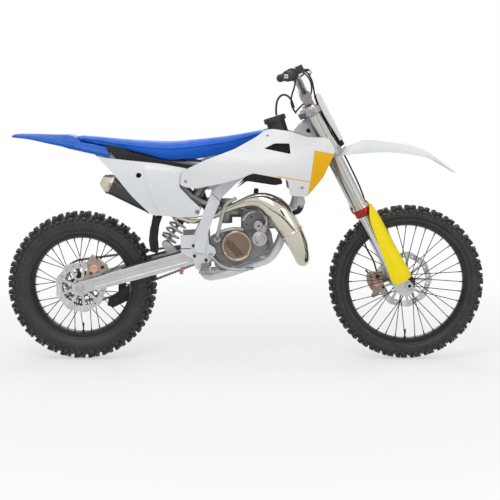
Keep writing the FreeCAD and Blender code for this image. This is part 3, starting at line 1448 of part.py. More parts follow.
def make_airbox():
    """The black airbox that closes up against the seat's base, with its mud flap."""
    half_width = -rear_rail_points()[3].y - s.rail_radius - s.seat_gap
    rear_share = 0.28
    middle_share = 0.48
    rear_x = s.seat_rear_x + rear_share * s.seat_length
    middle_x = s.seat_rear_x + middle_share * s.seat_length
    front_x = s.seat_rear_x + s.airbox_front_share * s.seat_length
    low = 648
    base_shares = ((0.0, 0.55), (0.35, 0.05), (0.88, 0), (1, 0.35))
    height = seat_base(front_x) - low
    corners = [point(rear_x, -half_width, seat_base(rear_x) - s.seat_gap)]
    corners += outline(base_shares, rear_x, low, front_x - rear_x, height, -half_width)
    corners += [point(front_x, -half_width, seat_base(front_x) - s.seat_gap),
                point(middle_x, -half_width, seat_base(middle_x) - s.seat_gap)]
    box = plate(corners, 2 * half_width)
    flap_half = 46
    flap_wall = 7
    flap_shares = ((1.0, 1.0), (0.35, 0.72), (0.0, 0.45), (0.2, 0.2), (0.55, 0.0))
    flap_left = 276
    flap_length = 34
    flap_low = 426
    flap_height = 236
    front_line = outline(flap_shares, flap_left, flap_low, flap_length, flap_height, -flap_half)
    back_line = [corner + point(flap_wall, 0, 0) for corner in front_line]
    flap = plate(front_line + back_line[::-1], 2 * flap_half)
    add_solid("airbox", fused([box, flap]), bike_placement())


# Shock absorber

def shock_point(share):
    """A point on the shock's axis, from its foot on the swingarm to its head under the frame."""
    foot = point(0.258 * s.wheelbase, 0, 0.532 * s.seat_point_z)
    head = point(0.372 * s.wheelbase, 0, 0.80 * s.seat_point_z)
    return foot + (head - foot) * share


def make_shock_absorber():
    """The damper rod and body, with the reservoir beside its head and an eye at each end."""
    rod_radius = 7
    body_radius = 21
    seat_radius = 33
    neck_radius = 10
    reservoir_radius = 19
    reservoir_length = 92
    reservoir_offset = 41
    axis = (shock_point(1) - shock_point(0)).normalize()
    foot = crossbar(shock_point(0).x, shock_point(0).z, -s.shock_foot_half_width, s.shock_foot_half_width,
                    s.shock_foot_radius)
    head = crossbar(shock_point(1).x, shock_point(1).z, -s.shock_head_half_width, s.shock_head_half_width,
                    s.shock_head_radius)
    shaft_head_share = 0.5
    body_foot_share = 0.42
    body_head_share = 0.92
    neck_foot_share = 0.9
    bridge_share = 0.86
    spring_low = shock_point(s.spring_low_share)
    spring_high = shock_point(s.spring_high_share)
    bridge_place = shock_point(bridge_share)
    aside = point(0, -reservoir_offset, 0)
    shaft = rod(shock_point(0), shock_point(shaft_head_share), rod_radius)
    low_seat = rod(spring_low, spring_low + axis * s.spring_seat_wall, seat_radius)
    body = rod(shock_point(body_foot_share), shock_point(body_head_share), body_radius)
    neck = rod(shock_point(neck_foot_share), shock_point(1), neck_radius)
    high_seat = rod(spring_high, spring_high + axis * s.spring_seat_wall, seat_radius)
    reservoir = rod(spring_high + aside, spring_high + aside + axis * reservoir_length, reservoir_radius)
    bridge = rod(bridge_place, bridge_place + aside, rod_radius)
    shock = fused([foot, head, shaft, low_seat, body, neck, high_seat, reservoir, bridge])
    holes = [crossbar(shock_point(0).x, shock_point(0).z, -s.shock_foot_half_width, s.shock_foot_half_width,
                      s.shock_pin_radius + s.seat_gap),
             crossbar(shock_point(1).x, shock_point(1).z, -s.shock_head_half_width, s.shock_head_half_width,
                      s.shock_pin_radius + s.seat_gap)]
    add_solid("shock_absorber", shock.cut(holes), bike_placement())


def make_shock_spring():
    """The coil spring between the shock's two seats."""
    wire_radius = 5
    coil_radius = 30
    turns = 6.5
    steps_per_turn = 14
    wire_sides = 6
    axis = (shock_point(1) - shock_point(0)).normalize()
    wire_rest = wire_radius * math.cos(math.pi / wire_sides)
    start = shock_point(s.spring_low_share) + axis * (s.spring_seat_wall + s.seat_gap + wire_rest)
    end = shock_point(s.spring_high_share) - axis * (s.seat_gap + wire_rest)
    height = (end - start).Length
    steps = int(turns * steps_per_turn)
    line = []
    for step in range(steps + 1):
        turn = 2 * math.pi * step / steps_per_turn
        line.append(point(coil_radius * math.cos(turn), coil_radius * math.sin(turn), height * step / steps))
    rings = []
    for centre, direction in zip(line, flow_directions(line)):
        outward = point(centre.x, centre.y, 0).normalize()
        up = direction.cross(outward).normalize()
        corners = []
        for side in range(wire_sides):
            turn = 2 * math.pi * side / wire_sides
            corners.append(centre + outward * (wire_radius * math.cos(turn))
                           + up * (wire_radius * math.sin(turn)))
        rings.append(Part.makePolygon(corners + corners[:1]))
    coil = Part.makeLoft(rings, True, True)
    coil.Placement = FreeCAD.Placement(start, FreeCAD.Rotation(point(0, 0, 1), end - start))
    add_solid("shock_spring", coil, bike_placement())


# Foot controls

def make_footpegs():
    """The two toothed pegs on their brackets at the foot of the pivot plates."""
    peg_x = 494
    peg_z = 372
    peg_length = 46
    peg_height = 10
    peg_reach = 84
    peg_wall = 6
    tooth_height = 6
    teeth = 7
    bracket_width = 18
    bracket_length = 34
    bracket_height = 44
    bracket_low = 355
    start_y = s.plate_inner_y + s.plate_thickness + s.seat_gap
    bracket = Part.makeBox(bracket_length, bracket_width, bracket_height,
                           point(peg_x - bracket_length / 2, -start_y - bracket_width, bracket_low))
    end_y = -start_y - bracket_width - peg_reach
    peg = Part.makeBox(peg_length, peg_reach, peg_height, point(peg_x - peg_length / 2, end_y, peg_z))
    opening = Part.makeBox(peg_length - 2 * peg_wall, peg_reach / 2 - 1.5 * peg_wall, peg_height,
                           point(peg_x - peg_length / 2 + peg_wall, end_y + peg_wall, peg_z))
    second = opening.copy()
    second.translate(mid_plane * (peg_reach / 2 - peg_wall / 2))
    peg = peg.cut([opening, second])
    rows = []
    pitch = peg_reach / teeth
    profile = []
    for index in range(teeth):
        start = end_y + index * pitch
        profile += [point(0, start, peg_z + peg_height),
                    point(0, start + pitch / 2, peg_z + peg_height + tooth_height)]
    profile += [point(0, end_y + peg_reach, peg_z + peg_height),
                point(0, end_y + peg_reach, peg_z + peg_wall), point(0, end_y, peg_z + peg_wall)]
    row = face(profile).extrude(point(peg_wall, 0, 0))
    for x in (peg_x - peg_length / 2, peg_x + peg_length / 2 - peg_wall):
        placed = row.copy()
        placed.translate(point(x, 0, 0))
        rows.append(placed)
    add_solid("footpegs", both_sides(fused([bracket, peg] + rows)), bike_placement())


def make_foot_levers():
    """The kick lever and brake pedal on the right and the shift lever on the left."""
    lever_radius = 7
    kick_shares = ((0.418, -0.079, 0.568), (0.420, -0.098, 0.588), (0.430, -0.104, 0.66),
                   (0.446, -0.106, 0.735), (0.476, -0.112, 0.757))
    kick = bent_tube(shared_route(kick_shares), lever_radius)
    boss_radius = 13
    boss_length = 14
    cover_face_y = s.case_right_y + s.cover_thickness
    boss_place = shared_route(kick_shares)[0]
    boss = crossbar(boss_place.x, boss_place.z, -cover_face_y - boss_length, -cover_face_y - s.seat_gap,
                    boss_radius)
    kick = kick.fuse(boss)
    brake_shares = ((0.3985, -0.0873, 0.4988), (0.3985, -0.1015, 0.4965), (0.425, -0.108, 0.455),
                    (0.463, -0.109, 0.435), (0.512, -0.109, 0.438))
    brake = bent_tube(shared_route(brake_shares), lever_radius)
    tread_length = 30
    tread_width = 30
    tread_height = 9
    tread_shares = ((0.505, -0.12, 0.436),)
    tread = Part.makeBox(tread_length, tread_width, tread_height, shared_route(tread_shares)[0])
    brake = brake.fuse(tread)
    shift_shares = ((0.448, 0.0405, 0.455), (0.448, 0.085, 0.455), (0.47, 0.100, 0.452),
                    (0.52, 0.101, 0.468), (0.525, 0.118, 0.470))
    shift = bent_tube(shared_route(shift_shares), lever_radius)
    add_solid("foot_levers", Part.makeCompound([kick, brake, shift]), bike_placement())


# Fork, steering and front end, in the fork frame

def on_forks(shape):
    """A right fork piece and its mirror image, moved out to the fork legs."""
    shape.translate(point(s.fork_offset, -s.fork_half_spread, 0))
    return both_sides(shape)


def make_fork_clamps():
    """The two clamps that hold the fork legs, joined by the steering stem."""
    reach = s.outer_tube_radius + s.clamp_grip
    shapes = []
    for base, height in ((s.top_clamp_z, s.top_clamp_height), (s.lower_clamp_z, s.lower_clamp_height)):
        bridge_shares = ((-1.25, 0.35), (-1.25, -0.35), (-0.35, -1.05), (0.7, -1.05), (1.1, -0.5),
                         (1.1, 0.5), (0.7, 1.05), (-0.35, 1.05))
        bridge = face([point(along * s.fork_offset, across * s.fork_half_spread, base)
                       for along, across in bridge_shares]).extrude(point(0, 0, height))
        ring = Part.makeCylinder(reach, height, point(s.fork_offset, -s.fork_half_spread, base))
        shapes += [bridge, ring, mirrored(ring)]
    stem = Part.makeCylinder(s.stem_radius, s.top_clamp_z + s.top_clamp_height - s.lower_clamp_z,
                             point(0, 0, s.lower_clamp_z))
    clamps = fused(shapes + [stem])
    hole = Part.makeCylinder(s.outer_tube_radius + s.seat_gap, s.top_clamp_z + s.top_clamp_height,
                             point(s.fork_offset, -s.fork_half_spread, 0))
    clamps = clamps.cut(hole).cut(mirrored(hole))
    tower_half_width = 15
    tower_length = 34
    tower_y = 44
    tower_height = s.bar_clamp_z - s.bar_mid_radius - s.top_clamp_z - s.top_clamp_height - s.seat_gap
    tower = Part.makeBox(tower_length, 2 * tower_half_width, tower_height,
                         point(s.bar_clamp_x - tower_length / 2, -tower_y - tower_half_width,
                               s.top_clamp_z + s.top_clamp_height))
    clamps = fused([clamps, tower, mirrored(tower)])
    add_solid("fork_clamps", clamps, fork_placement())


def make_fork_outer_tubes():
    """The upper fork tubes with their caps and the wiper rings at the foot."""
    tube = Part.makeCylinder(s.outer_tube_radius, s.outer_tube_length, point(0, 0, s.outer_tube_low))
    top = s.outer_tube_low + s.outer_tube_length
    cap = Part.makeCone(s.outer_tube_radius, s.inner_tube_radius, s.fork_cap_height, point(0, 0, top))
    wiper = Part.makeCylinder(s.wiper_radius, s.wiper_height,
                              point(0, 0, s.outer_tube_low - s.wiper_height / 2))
    bore_depth = s.outer_tube_length / 2
    bore = Part.makeCylinder(s.inner_tube_radius + s.seat_gap, bore_depth + s.wiper_height,
                             point(0, 0, s.outer_tube_low - s.wiper_height))
    add_solid("fork_outer_tubes", on_forks(fused([tube, cap, wiper]).cut(bore)), fork_placement())


def make_fork_inner_legs():
    """The sliding fork legs with the lugs that hold the axle in front of them."""
    top = s.outer_tube_low + s.outer_tube_length / 2 - s.wiper_height - s.seat_gap
    leg = Part.makeCylinder(s.inner_tube_radius, top, point(0, 0, 0))
    axle_x = s.steering_offset - s.fork_offset
    half = s.axle_lug_width / 2
    lug_shares = ((-0.62, 1.0), (-0.7, 0.0), (-0.3, -0.7), (0.4, -0.95), (1.0, -0.9), (1.4, -0.3),
                  (1.38, 0.2), (1.12, 0.36), (0.85, 0.7), (0.66, 1.0))
    corners = [point(along * axle_x, -half, (s.axle_lug_high if up > 0 else s.axle_lug_low) * up)
               for along, up in lug_shares]
    lug = plate(corners, s.axle_lug_width)
    bore = crossbar(axle_x, 0, -half - s.cut_overrun, half + s.cut_overrun, s.axle_radius + s.seat_gap)
    add_solid("fork_inner_legs", on_forks(leg.fuse(lug).cut(bore)), fork_placement())


def make_front_axle():
    """The hollow front axle with its head and the collars beside the hub."""
    leg_y = s.fork_half_spread + s.axle_lug_width / 2 + s.seat_gap
    end_y = leg_y + s.axle_head_length
    collar_y = s.disc_plane_y - s.disc_thickness / 2 - s.seat_gap + s.running_gap
    collar_end = s.fork_half_spread - s.axle_lug_width / 2 - s.seat_gap
    axle = crossbar(s.steering_offset, 0, -end_y, end_y, s.axle_radius)
    head = crossbar(s.steering_offset, 0, leg_y, end_y, s.axle_head_radius)
    collar = crossbar(s.steering_offset, 0, collar_y, collar_end, s.collar_radius)
    axle = fused([axle, head, mirrored(head), collar, mirrored(collar)])
    axle = axle.cut(crossbar(s.steering_offset, 0, -end_y, end_y, s.axle_bore_radius))
    add_solid("front_axle", axle, fork_placement())


def make_fork_guards():
    """The yellow guards that cover the fork legs from the front and the side."""
    low = 28
    high = 352
    gap = 4
    wall = s.plastic_wall
    stations = ((0.0, 1.7, 1.15), (0.12, 1.75, 1.2), (0.5, 1.5, 1.15), (0.92, 1.35, 1.12), (1.0, 1.15, 1.1))
    radius = s.wiper_radius + gap
    turns = (-1.9, -1.35, -0.8, -0.3, 0.1, 0.45)
    sections = []
    for up, ahead, aside in stations:
        outer = []
        inner = []
        for turn in turns:
            for reach, line in ((radius, outer), (radius - wall, inner)):
                stretch = ahead if math.cos(turn) > 0 else 1
                line.append(point(reach * stretch * math.cos(turn), reach * aside * math.sin(turn),
                                  low + up * (high - low)))
        sections.append(outer + inner[::-1])
    guard = moulding(sections)
    boss_half = 6
    boss_depth_share = 0.45
    bosses = []
    for boss_low_share, boss_start in ((0.16, s.inner_tube_radius), (0.84, s.inner_tube_radius)):
        boss_low = low + boss_low_share * (high - low)
        boss_end = radius * (stations[2][1] - wall / radius * boss_depth_share)
        bosses.append(Part.makeBox(boss_end - boss_start - s.seat_gap, 2 * boss_half, 2 * boss_half,
                                   point(boss_start + s.seat_gap, -boss_half, boss_low)))
    add_solid("fork_guards", on_forks(fused([guard] + bosses)), fork_placement())


def make_front_fender():
    """The front fender bolted under the lower clamp, a thin ribbed arch with a downturned tip."""
    steps = 8
    top = s.lower_clamp_z - s.seat_gap
    stations = (
        (-0.87, 0.80, 1.0, 0.010),
        (0.87, 0.90, 1.0, 0.010),
        (2.09, 0.96, 1.0, 0.014),
        (4.13, 1.06, 1.021, 0.034),
        (6.52, 1.03, 1.018, 0.103),
        (9.61, 1.0, 0.952, 0.079),
        (13.09, 0.97, 0.853, 0.069),
        (15.65, 0.84, 0.738, 0.041),
        (18.3, 0.48, 0.529, 0.010),
    )
    sections = []
    for along, half, height, drop in stations:
        sections.append(arch_section(along * s.fork_offset, half * s.front_fender_half_width, height * top,
                                     drop * top, s.plastic_wall, steps))
    add_solid("front_fender", moulding(sections, True), fork_placement())


def make_number_plate():
    """The blank front plate, bowed across and held by the handlebar and the lower clamp."""
    low = 626
    high = 826
    front_x = 88
    shares = ((0.0, 0.26, 0.07), (0.35, 0.42, 0.11), (0.75, 0.52, 0.13), (1.0, 0.44, 0.10))
    steps = 6
    sections = []
    for row in shares:
        up, half, bow = [share * (high - low) for share in row]
        z = low + up
        outer = []
        inner = []
        for step in range(steps + 1):
            across = 2 * step / steps - 1
            x = front_x - bow * across * across
            outer.append(point(x, across * half, z))
            inner.append(point(x - s.plastic_wall, across * half, z))
        sections.append(outer + inner[::-1])
    horn_half = 8
    horn_share = 0.74
    clamp_front_share = 1.1
    clamp_front = clamp_front_share * s.fork_offset
    horn_z = s.top_clamp_z + s.top_clamp_height / 2 - horn_half
    horn_length = front_x - s.plastic_wall / 2 - clamp_front - s.seat_gap
    horn = Part.makeBox(horn_length, 2 * horn_half, 2 * horn_half * horn_share,
                        point(clamp_front + s.seat_gap, -horn_half, horn_z))
    add_solid("number_plate", fused([moulding(sections), horn]), fork_placement())


def bar_route():
    """The right half of the handlebar, from its middle to its end."""
    return [
        point(s.bar_clamp_x, 0, s.bar_clamp_z),
        point(s.bar_clamp_x, -s.bar_low_half_width - s.bar_mid_radius, s.bar_clamp_z),
        point(s.bar_clamp_x + 4, -s.bar_half_width * 0.40, s.bar_end_z - 8),
        point(s.bar_end_x, -s.bar_half_width, s.bar_end_z),
    ]


def make_handlebar():
    """The tapered handlebar, thick in its clamps."""
    half = bent_tube(bar_route(), s.bar_radius)
    middle = crossbar(s.bar_clamp_x, s.bar_clamp_z, -s.bar_low_half_width, s.bar_low_half_width,
                      s.bar_mid_radius)
    add_solid("handlebar", fused([half, mirrored(half), middle]), fork_placement())


def make_grips():
    """The two rubber grips pushed over the ends of the bar."""
    route = bar_route()
    run = (route[-1] - route[-2]).normalize()
    end = route[-1] + run * s.seat_gap
    start = route[-1] - run * s.grip_length
    flange = 5
    grip = rod(start, end + run * flange, s.grip_radius)
    collar = rod(start, start + run * flange, s.grip_radius + flange)
    hole = rod(start - run * s.cut_overrun, end, s.bar_radius + s.seat_gap)
    add_solid("grips", both_sides(grip.fuse(collar).cut(hole)), fork_placement())


def make_hand_controls():
    """The throttle housing, the master cylinders and the two levers."""
    route = bar_route()
    run = (route[-1] - route[-2]).normalize()
    inner = route[-1] - run * (s.grip_length + s.seat_gap)
    housing_length = 26
    housing_radius = 24
    housing = rod(inner - run * housing_length, inner, housing_radius)
    clamp_offset = 26
    clamp_length = 20
    clamp_wall = 9
    clamp_start = inner - run * (housing_length + clamp_offset)
    clamp = rod(clamp_start, clamp_start + run * clamp_length, s.bar_radius + clamp_wall)
    tank_length = 52
    tank_width = 26
    tank_height = 30
    tank_ahead = 14
    tank_drop = 10
    tank_run_share = 0.6
    tank = Part.makeBox(tank_width, tank_length, tank_height,
                        clamp_start + point(tank_ahead, -tank_run_share * tank_length, -tank_drop))
    lever_length = 160
    lever_radius = 5
    lever_shares = ((0.1875, -0.0375, 0), (0.3625, -0.1125, -0.075), (0.35, -0.5, -0.1375),
                    (0.2625, -1, -0.1625))
    lever = bent_tube([clamp_start + point(x, y, z) * lever_length for x, y, z in lever_shares],
                      lever_radius)
    hole = rod(clamp_start - run * housing_length, route[-1], s.bar_radius + s.seat_gap)
    right = fused([housing, clamp, tank, lever]).cut(hole)
    add_solid("hand_controls", both_sides(right), fork_placement())


def make_front_caliper():
    """The front caliper behind the left fork leg."""
    block_x = -42
    block_z = 38
    block_length = 78
    block_height = 44
    block_turn = -69
    block = caliper(1, block_x, block_z, block_length, block_height, block_turn)
    ear_low = 20
    ear_high = 56
    ear_wall = 8
    lug_x = s.steering_offset - s.fork_offset
    lug_low_share = 0.7
    lug_high_share = 0.62
    lug_low = s.fork_offset - lug_low_share * lug_x
    lug_high = s.fork_offset - lug_high_share * lug_x
    ear_inner = s.fork_half_spread - s.axle_lug_width / 2 + s.cut_overrun

    def lug_rear(z):
        return lug_low + (lug_high - lug_low) * z / s.axle_lug_high - s.seat_gap

    ear_rear = block_x - block_length / 8
    corners = [point(ear_rear, ear_inner, ear_low), point(lug_rear(ear_low), ear_inner, ear_low),
               point(lug_rear(ear_high), ear_inner, ear_high), point(ear_rear, ear_inner, ear_high)]
    ear = plate(corners, ear_wall)
    add_solid("front_caliper", fused([block, ear]), fork_placement())


# Hoses and cables

def make_hoses():
    """The coolant hoses from the radiators, the intake boot and the tank's breather hose."""
    hose_radius = 10
    hose_shares = ((0.672, -0.078, 0.7228), (0.671, -0.076, 0.700), (0.655, -0.055, 0.683),
                   (0.620, -0.035, 0.680), (0.5774, -0.028, 0.683))
    hose = bent_tube(shared_route(hose_shares), hose_radius)
    breather_radius = 3.5
    breather_shares = ((0.598, 0, 1.1216), (0.595, 0, 1.18), (0.616, 0.002, 1.222), (0.645, 0.004, 1.20),
                       (0.652, 0.006, 1.155))
    breather = bent_tube(shared_route(breather_shares), breather_radius)
    boot_shares = ((0.41217, 0.0, 0.694), (0.3915, 0.0, 0.6975), (0.3752, 0.0233, 0.7217),
                   (0.3643, 0.0326, 0.7621), (0.3504, 0.031, 0.8083), (0.3411, 0.031, 0.8314))
    boot_points = shared_route(boot_shares)
    airbox_front_x = s.seat_rear_x + s.airbox_front_share * s.seat_length
    boot_points.append(point(airbox_front_x + s.seat_gap, boot_points[-1].y, boot_points[-1].z))
    boot_radius = 18
    boot = cone_pipe(boot_points, [boot_radius] * len(boot_points))
    add_solid("hoses", Part.makeCompound([hose, mirrored(hose), breather, boot]), bike_placement())


def make_cables():
    """The throttle cable, the front brake hose and the clutch hose, held along their routes."""
    cable_radius = 3
    brake = [point(x, y, z) for x, y, z in (
        (50, -182.9, 944), (62, -160, 940), (74, -125, 918), (78, -78, 884), (70, -28, 850), (64, 16, 820),
        (62, 46, 785), (60, 62, 735), (59, 70, 680), (64, 76, 615), (68, 72, 550), (67, 62, 480), (65, 57, 410),
        (56, 57, 345), (24, 57, 292), (-10, 58, 240), (-24, 64, 180), (-16, 73, 120), (-27.6, 75, 75.6))]
    throttle = [point(x, y, z) for x, y, z in (
        (13, -243, 914.5), (0, -215, 894), (-22, -165, 872), (-35, -118, 846), (-38, -80, 820),
        (-34, -50, 800))]
    clutch = [point(x, y, z) for x, y, z in (
        (50, 182.9, 944), (64, 158, 938), (80, 125, 912), (80, 104, 872), (60, 84, 835), (28, 75, 817),
        (-8, 66, 810), (-32, 46, 800))]
    tubes = [bent_tube(route, cable_radius) for route in (brake, throttle, clutch)]
    add_solid("cables", Part.makeCompound(tubes), fork_placement())


# Writing the pieces

def write_parts():
    """Check every object and every piece, then write the pieces' solids."""
    document.recompute()
    for item in document.Objects:
        if {"Invalid", "Error"} & set(item.State):
            raise RuntimeError(f"{item.Label} is in state {item.State}")
    os.makedirs("parts", exist_ok=True)
    for piece in pieces:
        if piece.Shape.isNull() or not piece.Shape.isValid():
            raise RuntimeError(f"{piece.Label} has no valid shape")
        piece.Shape.exportStep(f"parts/{piece.Label}.step")


make_tyres()
make_rims()
make_hubs()
make_discs()
make_chain()
make_sprockets()
make_swingarm()
make_rear_axle()
make_chain_guides()
make_rear_caliper()
make_main_frame()
make_subframe()
make_crankcase()
make_clutch_cover()
make_cylinder()
make_carburettor()
make_exhaust_pipe()
make_silencer()
make_seat()
make_rear_fender()
make_side_panels()
make_radiator_shrouds()
make_fuel_tank()
make_radiators()
make_airbox()
make_shock_absorber()
make_shock_spring()
make_footpegs()
make_foot_levers()
make_fork_clamps()
make_fork_outer_tubes()
make_fork_inner_legs()
make_front_axle()
make_fork_guards()
make_front_fender()
make_number_plate()
make_handlebar()
make_grips()
make_hand_controls()
make_front_caliper()
make_hoses()
make_cables()
write_parts()
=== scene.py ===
import math
import bpy
import bmesh
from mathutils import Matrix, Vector


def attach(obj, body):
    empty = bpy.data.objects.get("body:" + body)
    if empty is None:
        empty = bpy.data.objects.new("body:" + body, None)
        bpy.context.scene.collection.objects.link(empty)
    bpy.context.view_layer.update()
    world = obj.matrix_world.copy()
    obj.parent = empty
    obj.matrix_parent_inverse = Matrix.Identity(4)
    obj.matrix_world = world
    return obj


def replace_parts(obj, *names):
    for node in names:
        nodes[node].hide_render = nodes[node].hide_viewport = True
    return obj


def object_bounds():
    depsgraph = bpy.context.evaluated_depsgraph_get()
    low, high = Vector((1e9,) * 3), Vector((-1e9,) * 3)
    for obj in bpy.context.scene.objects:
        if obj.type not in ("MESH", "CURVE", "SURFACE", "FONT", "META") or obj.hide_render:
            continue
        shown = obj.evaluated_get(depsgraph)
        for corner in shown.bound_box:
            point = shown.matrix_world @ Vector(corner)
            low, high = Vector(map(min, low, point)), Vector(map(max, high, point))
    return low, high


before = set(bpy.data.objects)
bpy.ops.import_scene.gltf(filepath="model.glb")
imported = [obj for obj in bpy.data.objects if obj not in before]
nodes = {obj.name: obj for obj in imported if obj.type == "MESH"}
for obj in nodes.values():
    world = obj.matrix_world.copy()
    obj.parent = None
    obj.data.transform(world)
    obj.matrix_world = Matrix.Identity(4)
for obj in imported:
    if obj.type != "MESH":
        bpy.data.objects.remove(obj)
cad_low, cad_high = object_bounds()
scene = bpy.context.scene
scene.view_settings.view_transform = "Standard"

# Studio
# A pale seamless floor under soft daylight lamps, as for a catalogue picture of the whole bike.
# The camera stands five metres off the bike's right side, a little above the saddle.
ground_z = cad_low.z


def shader_material(name):
    """A node material with its Principled shader, its links and its node tree."""
    material = bpy.data.materials.new(name)
    material.use_nodes = True
    tree = material.node_tree
    return material, tree, tree.nodes["Principled BSDF"]


def combined(tree, values, operation):
    """One value made from several by a math operation, taken in turn."""
    total = values[0]
    for value in values[1:]:
        step = tree.nodes.new("ShaderNodeMath")
        step.operation = operation
        tree.links.new(total, step.inputs[0])
        tree.links.new(value, step.inputs[1])
        total = step.outputs[0]
    return total


def seen_directly(tree):
    """One for what the camera, a reflection or a pane sees, and nothing for the light that falls on things."""
    rays = tree.nodes.new("ShaderNodeLightPath")
    kinds = ("Is Camera Ray", "Is Glossy Ray", "Is Transmission Ray")
    return combined(tree, [rays.outputs[kind] for kind in kinds], "MAXIMUM")


def floor_paper(colour, near, far, shade_share):
    """A matt paper floor: near the bike it keeps the shadow, and away from it it is plain white."""
    material, tree, shader = shader_material("floor_paper")
    shader.inputs["Base Color"].default_value = (*colour, 1)
    shader.inputs["Roughness"].default_value = 0.95
    shader.inputs["Specular IOR Level"].default_value = 0.05
    link = tree.links.new
    place = tree.nodes.new("ShaderNodeTexCoord")
    distance = tree.nodes.new("ShaderNodeVectorMath")
    distance.operation = "LENGTH"
    link(place.outputs["Object"], distance.inputs[0])
    fade = tree.nodes.new("ShaderNodeMapRange")
    fade.interpolation_type = "SMOOTHSTEP"
    fade.inputs["From Min"].default_value = near
    fade.inputs["From Max"].default_value = far
    fade.inputs["To Min"].default_value = 1 - shade_share
    link(distance.outputs["Value"], fade.inputs["Value"])
    share = combined(tree, [seen_directly(tree), fade.outputs["Result"]], "MULTIPLY")
    white = tree.nodes.new("ShaderNodeEmission")
    mix = tree.nodes.new("ShaderNodeMixShader")
    link(share, mix.inputs[0])
    link(shader.outputs[0], mix.inputs[1])
    link(white.outputs[0], mix.inputs[2])
    link(mix.outputs[0], tree.nodes["Material Output"].inputs["Surface"])
    return material


floor_mesh = bpy.data.meshes.new("studio_floor")
floor_half = 30
floor_mesh.from_pydata([(-floor_half, -floor_half, 0), (floor_half, -floor_half, 0),
                        (floor_half, floor_half, 0), (-floor_half, floor_half, 0)], [], [(0, 1, 2, 3)])
floor = bpy.data.objects.new("studio_floor", floor_mesh)
floor.location = (0.215, 0, ground_z)
scene.collection.objects.link(floor)
floor.data.materials.append(floor_paper((0.86, 0.86, 0.865), 1.1, 2.6, 0.42))

world = bpy.data.worlds.new("studio_air")
scene.world = world
world.use_nodes = True
air = world.node_tree
sky = air.nodes["Background"]
sky.inputs["Color"].default_value = (0.94, 0.96, 1.0, 1)
sky.inputs["Strength"].default_value = 0.48
white_sky = air.nodes.new("ShaderNodeBackground")
white_sky.inputs["Color"].default_value = (1, 1, 1, 1)
mix_sky = air.nodes.new("ShaderNodeMixShader")
air.links.new(seen_directly(air), mix_sky.inputs[0])
air.links.new(sky.outputs[0], mix_sky.inputs[1])
air.links.new(white_sky.outputs[0], mix_sky.inputs[2])
air.links.new(mix_sky.outputs[0], air.nodes["World Output"].inputs[0])


def soft_lamp(name, place, target, size, power, colour=(1, 1, 1)):
    """A square soft lamp aimed at a point."""
    lamp = bpy.data.lights.new(name, "AREA")
    lamp.shape = "SQUARE"
    lamp.size = size
    lamp.energy = power
    lamp.color = colour
    lamp_object = bpy.data.objects.new(name, lamp)
    lamp_object.location = place
    lamp_object.rotation_euler = (Vector(target) - Vector(place)).to_track_quat("-Z", "Y").to_euler()
    scene.collection.objects.link(lamp_object)


soft_lamp("key_lamp", (-1.0, -3.2, 3.6), (0.2, 0, -0.3), 2.4, 84)
soft_lamp("fill_lamp", (3.4, -3.2, 1.4), (0.3, 0, -0.4), 2.4, 26, (1.0, 0.98, 0.95))
soft_lamp("top_lamp", (0.2, 0.3, 3.6), (0.2, 0, -0.3), 3.0, 48)
soft_lamp("back_lamp", (0.4, 4.2, 2.2), (0.2, 0, -0.3), 2.6, 40)


def dark_flag(name, place, width, height):
    """A black card beside the camera, out of its sight, that gives metal its dark reflections."""
    mesh = bpy.data.meshes.new(name)
    mesh.from_pydata([(-width / 2, 0, -height / 2), (width / 2, 0, -height / 2), (width / 2, 0, height / 2),
                      (-width / 2, 0, height / 2)], [], [(0, 1, 2, 3)])
    card = bpy.data.objects.new(name, mesh)
    card.location = place
    material, tree, shader = shader_material(name)
    shader.inputs["Base Color"].default_value = (0.02, 0.02, 0.02, 1)
    shader.inputs["Roughness"].default_value = 0.9
    mesh.materials.append(material)
    card.visible_camera = False
    card.visible_shadow = False
    card.visible_diffuse = False
    scene.collection.objects.link(card)


dark_flag("low_flag", (0.2, -3.4, -0.55), 7.0, 0.42)
dark_flag("tall_flag", (2.2, -3.8, 1.1), 1.1, 1.9)
dark_flag("rear_low_flag", (0.2, 3.4, -0.55), 7.0, 0.42)

camera_data = bpy.data.cameras.new("photo_camera")
camera = bpy.data.objects.new("photo_camera", camera_data)
scene.collection.objects.link(camera)
scene.camera = camera
camera_data.sensor_width = 36
camera_data.lens = 91.0
camera_data.shift_x = 0.012
camera_data.shift_y = -0.06
camera_tilt = 5.9
camera.location = (0.214, -5.0, 0.207)
camera.rotation_euler = (math.radians(90 - camera_tilt), 0, 0)

# Tyres
# Knobby motocross tyres: a rubber carcass with rows of square-edged blocks moulded onto its tread.
# The blocks stand in staggered rows, taller in the middle, with low ones down the walls.


def group_socket(group, name, kind, way, value=None):
    """One named socket of a node group."""
    socket = group.interface.new_socket(name=name, in_out=way, socket_type=kind)
    if value is not None:
        socket.default_value = value
    return socket


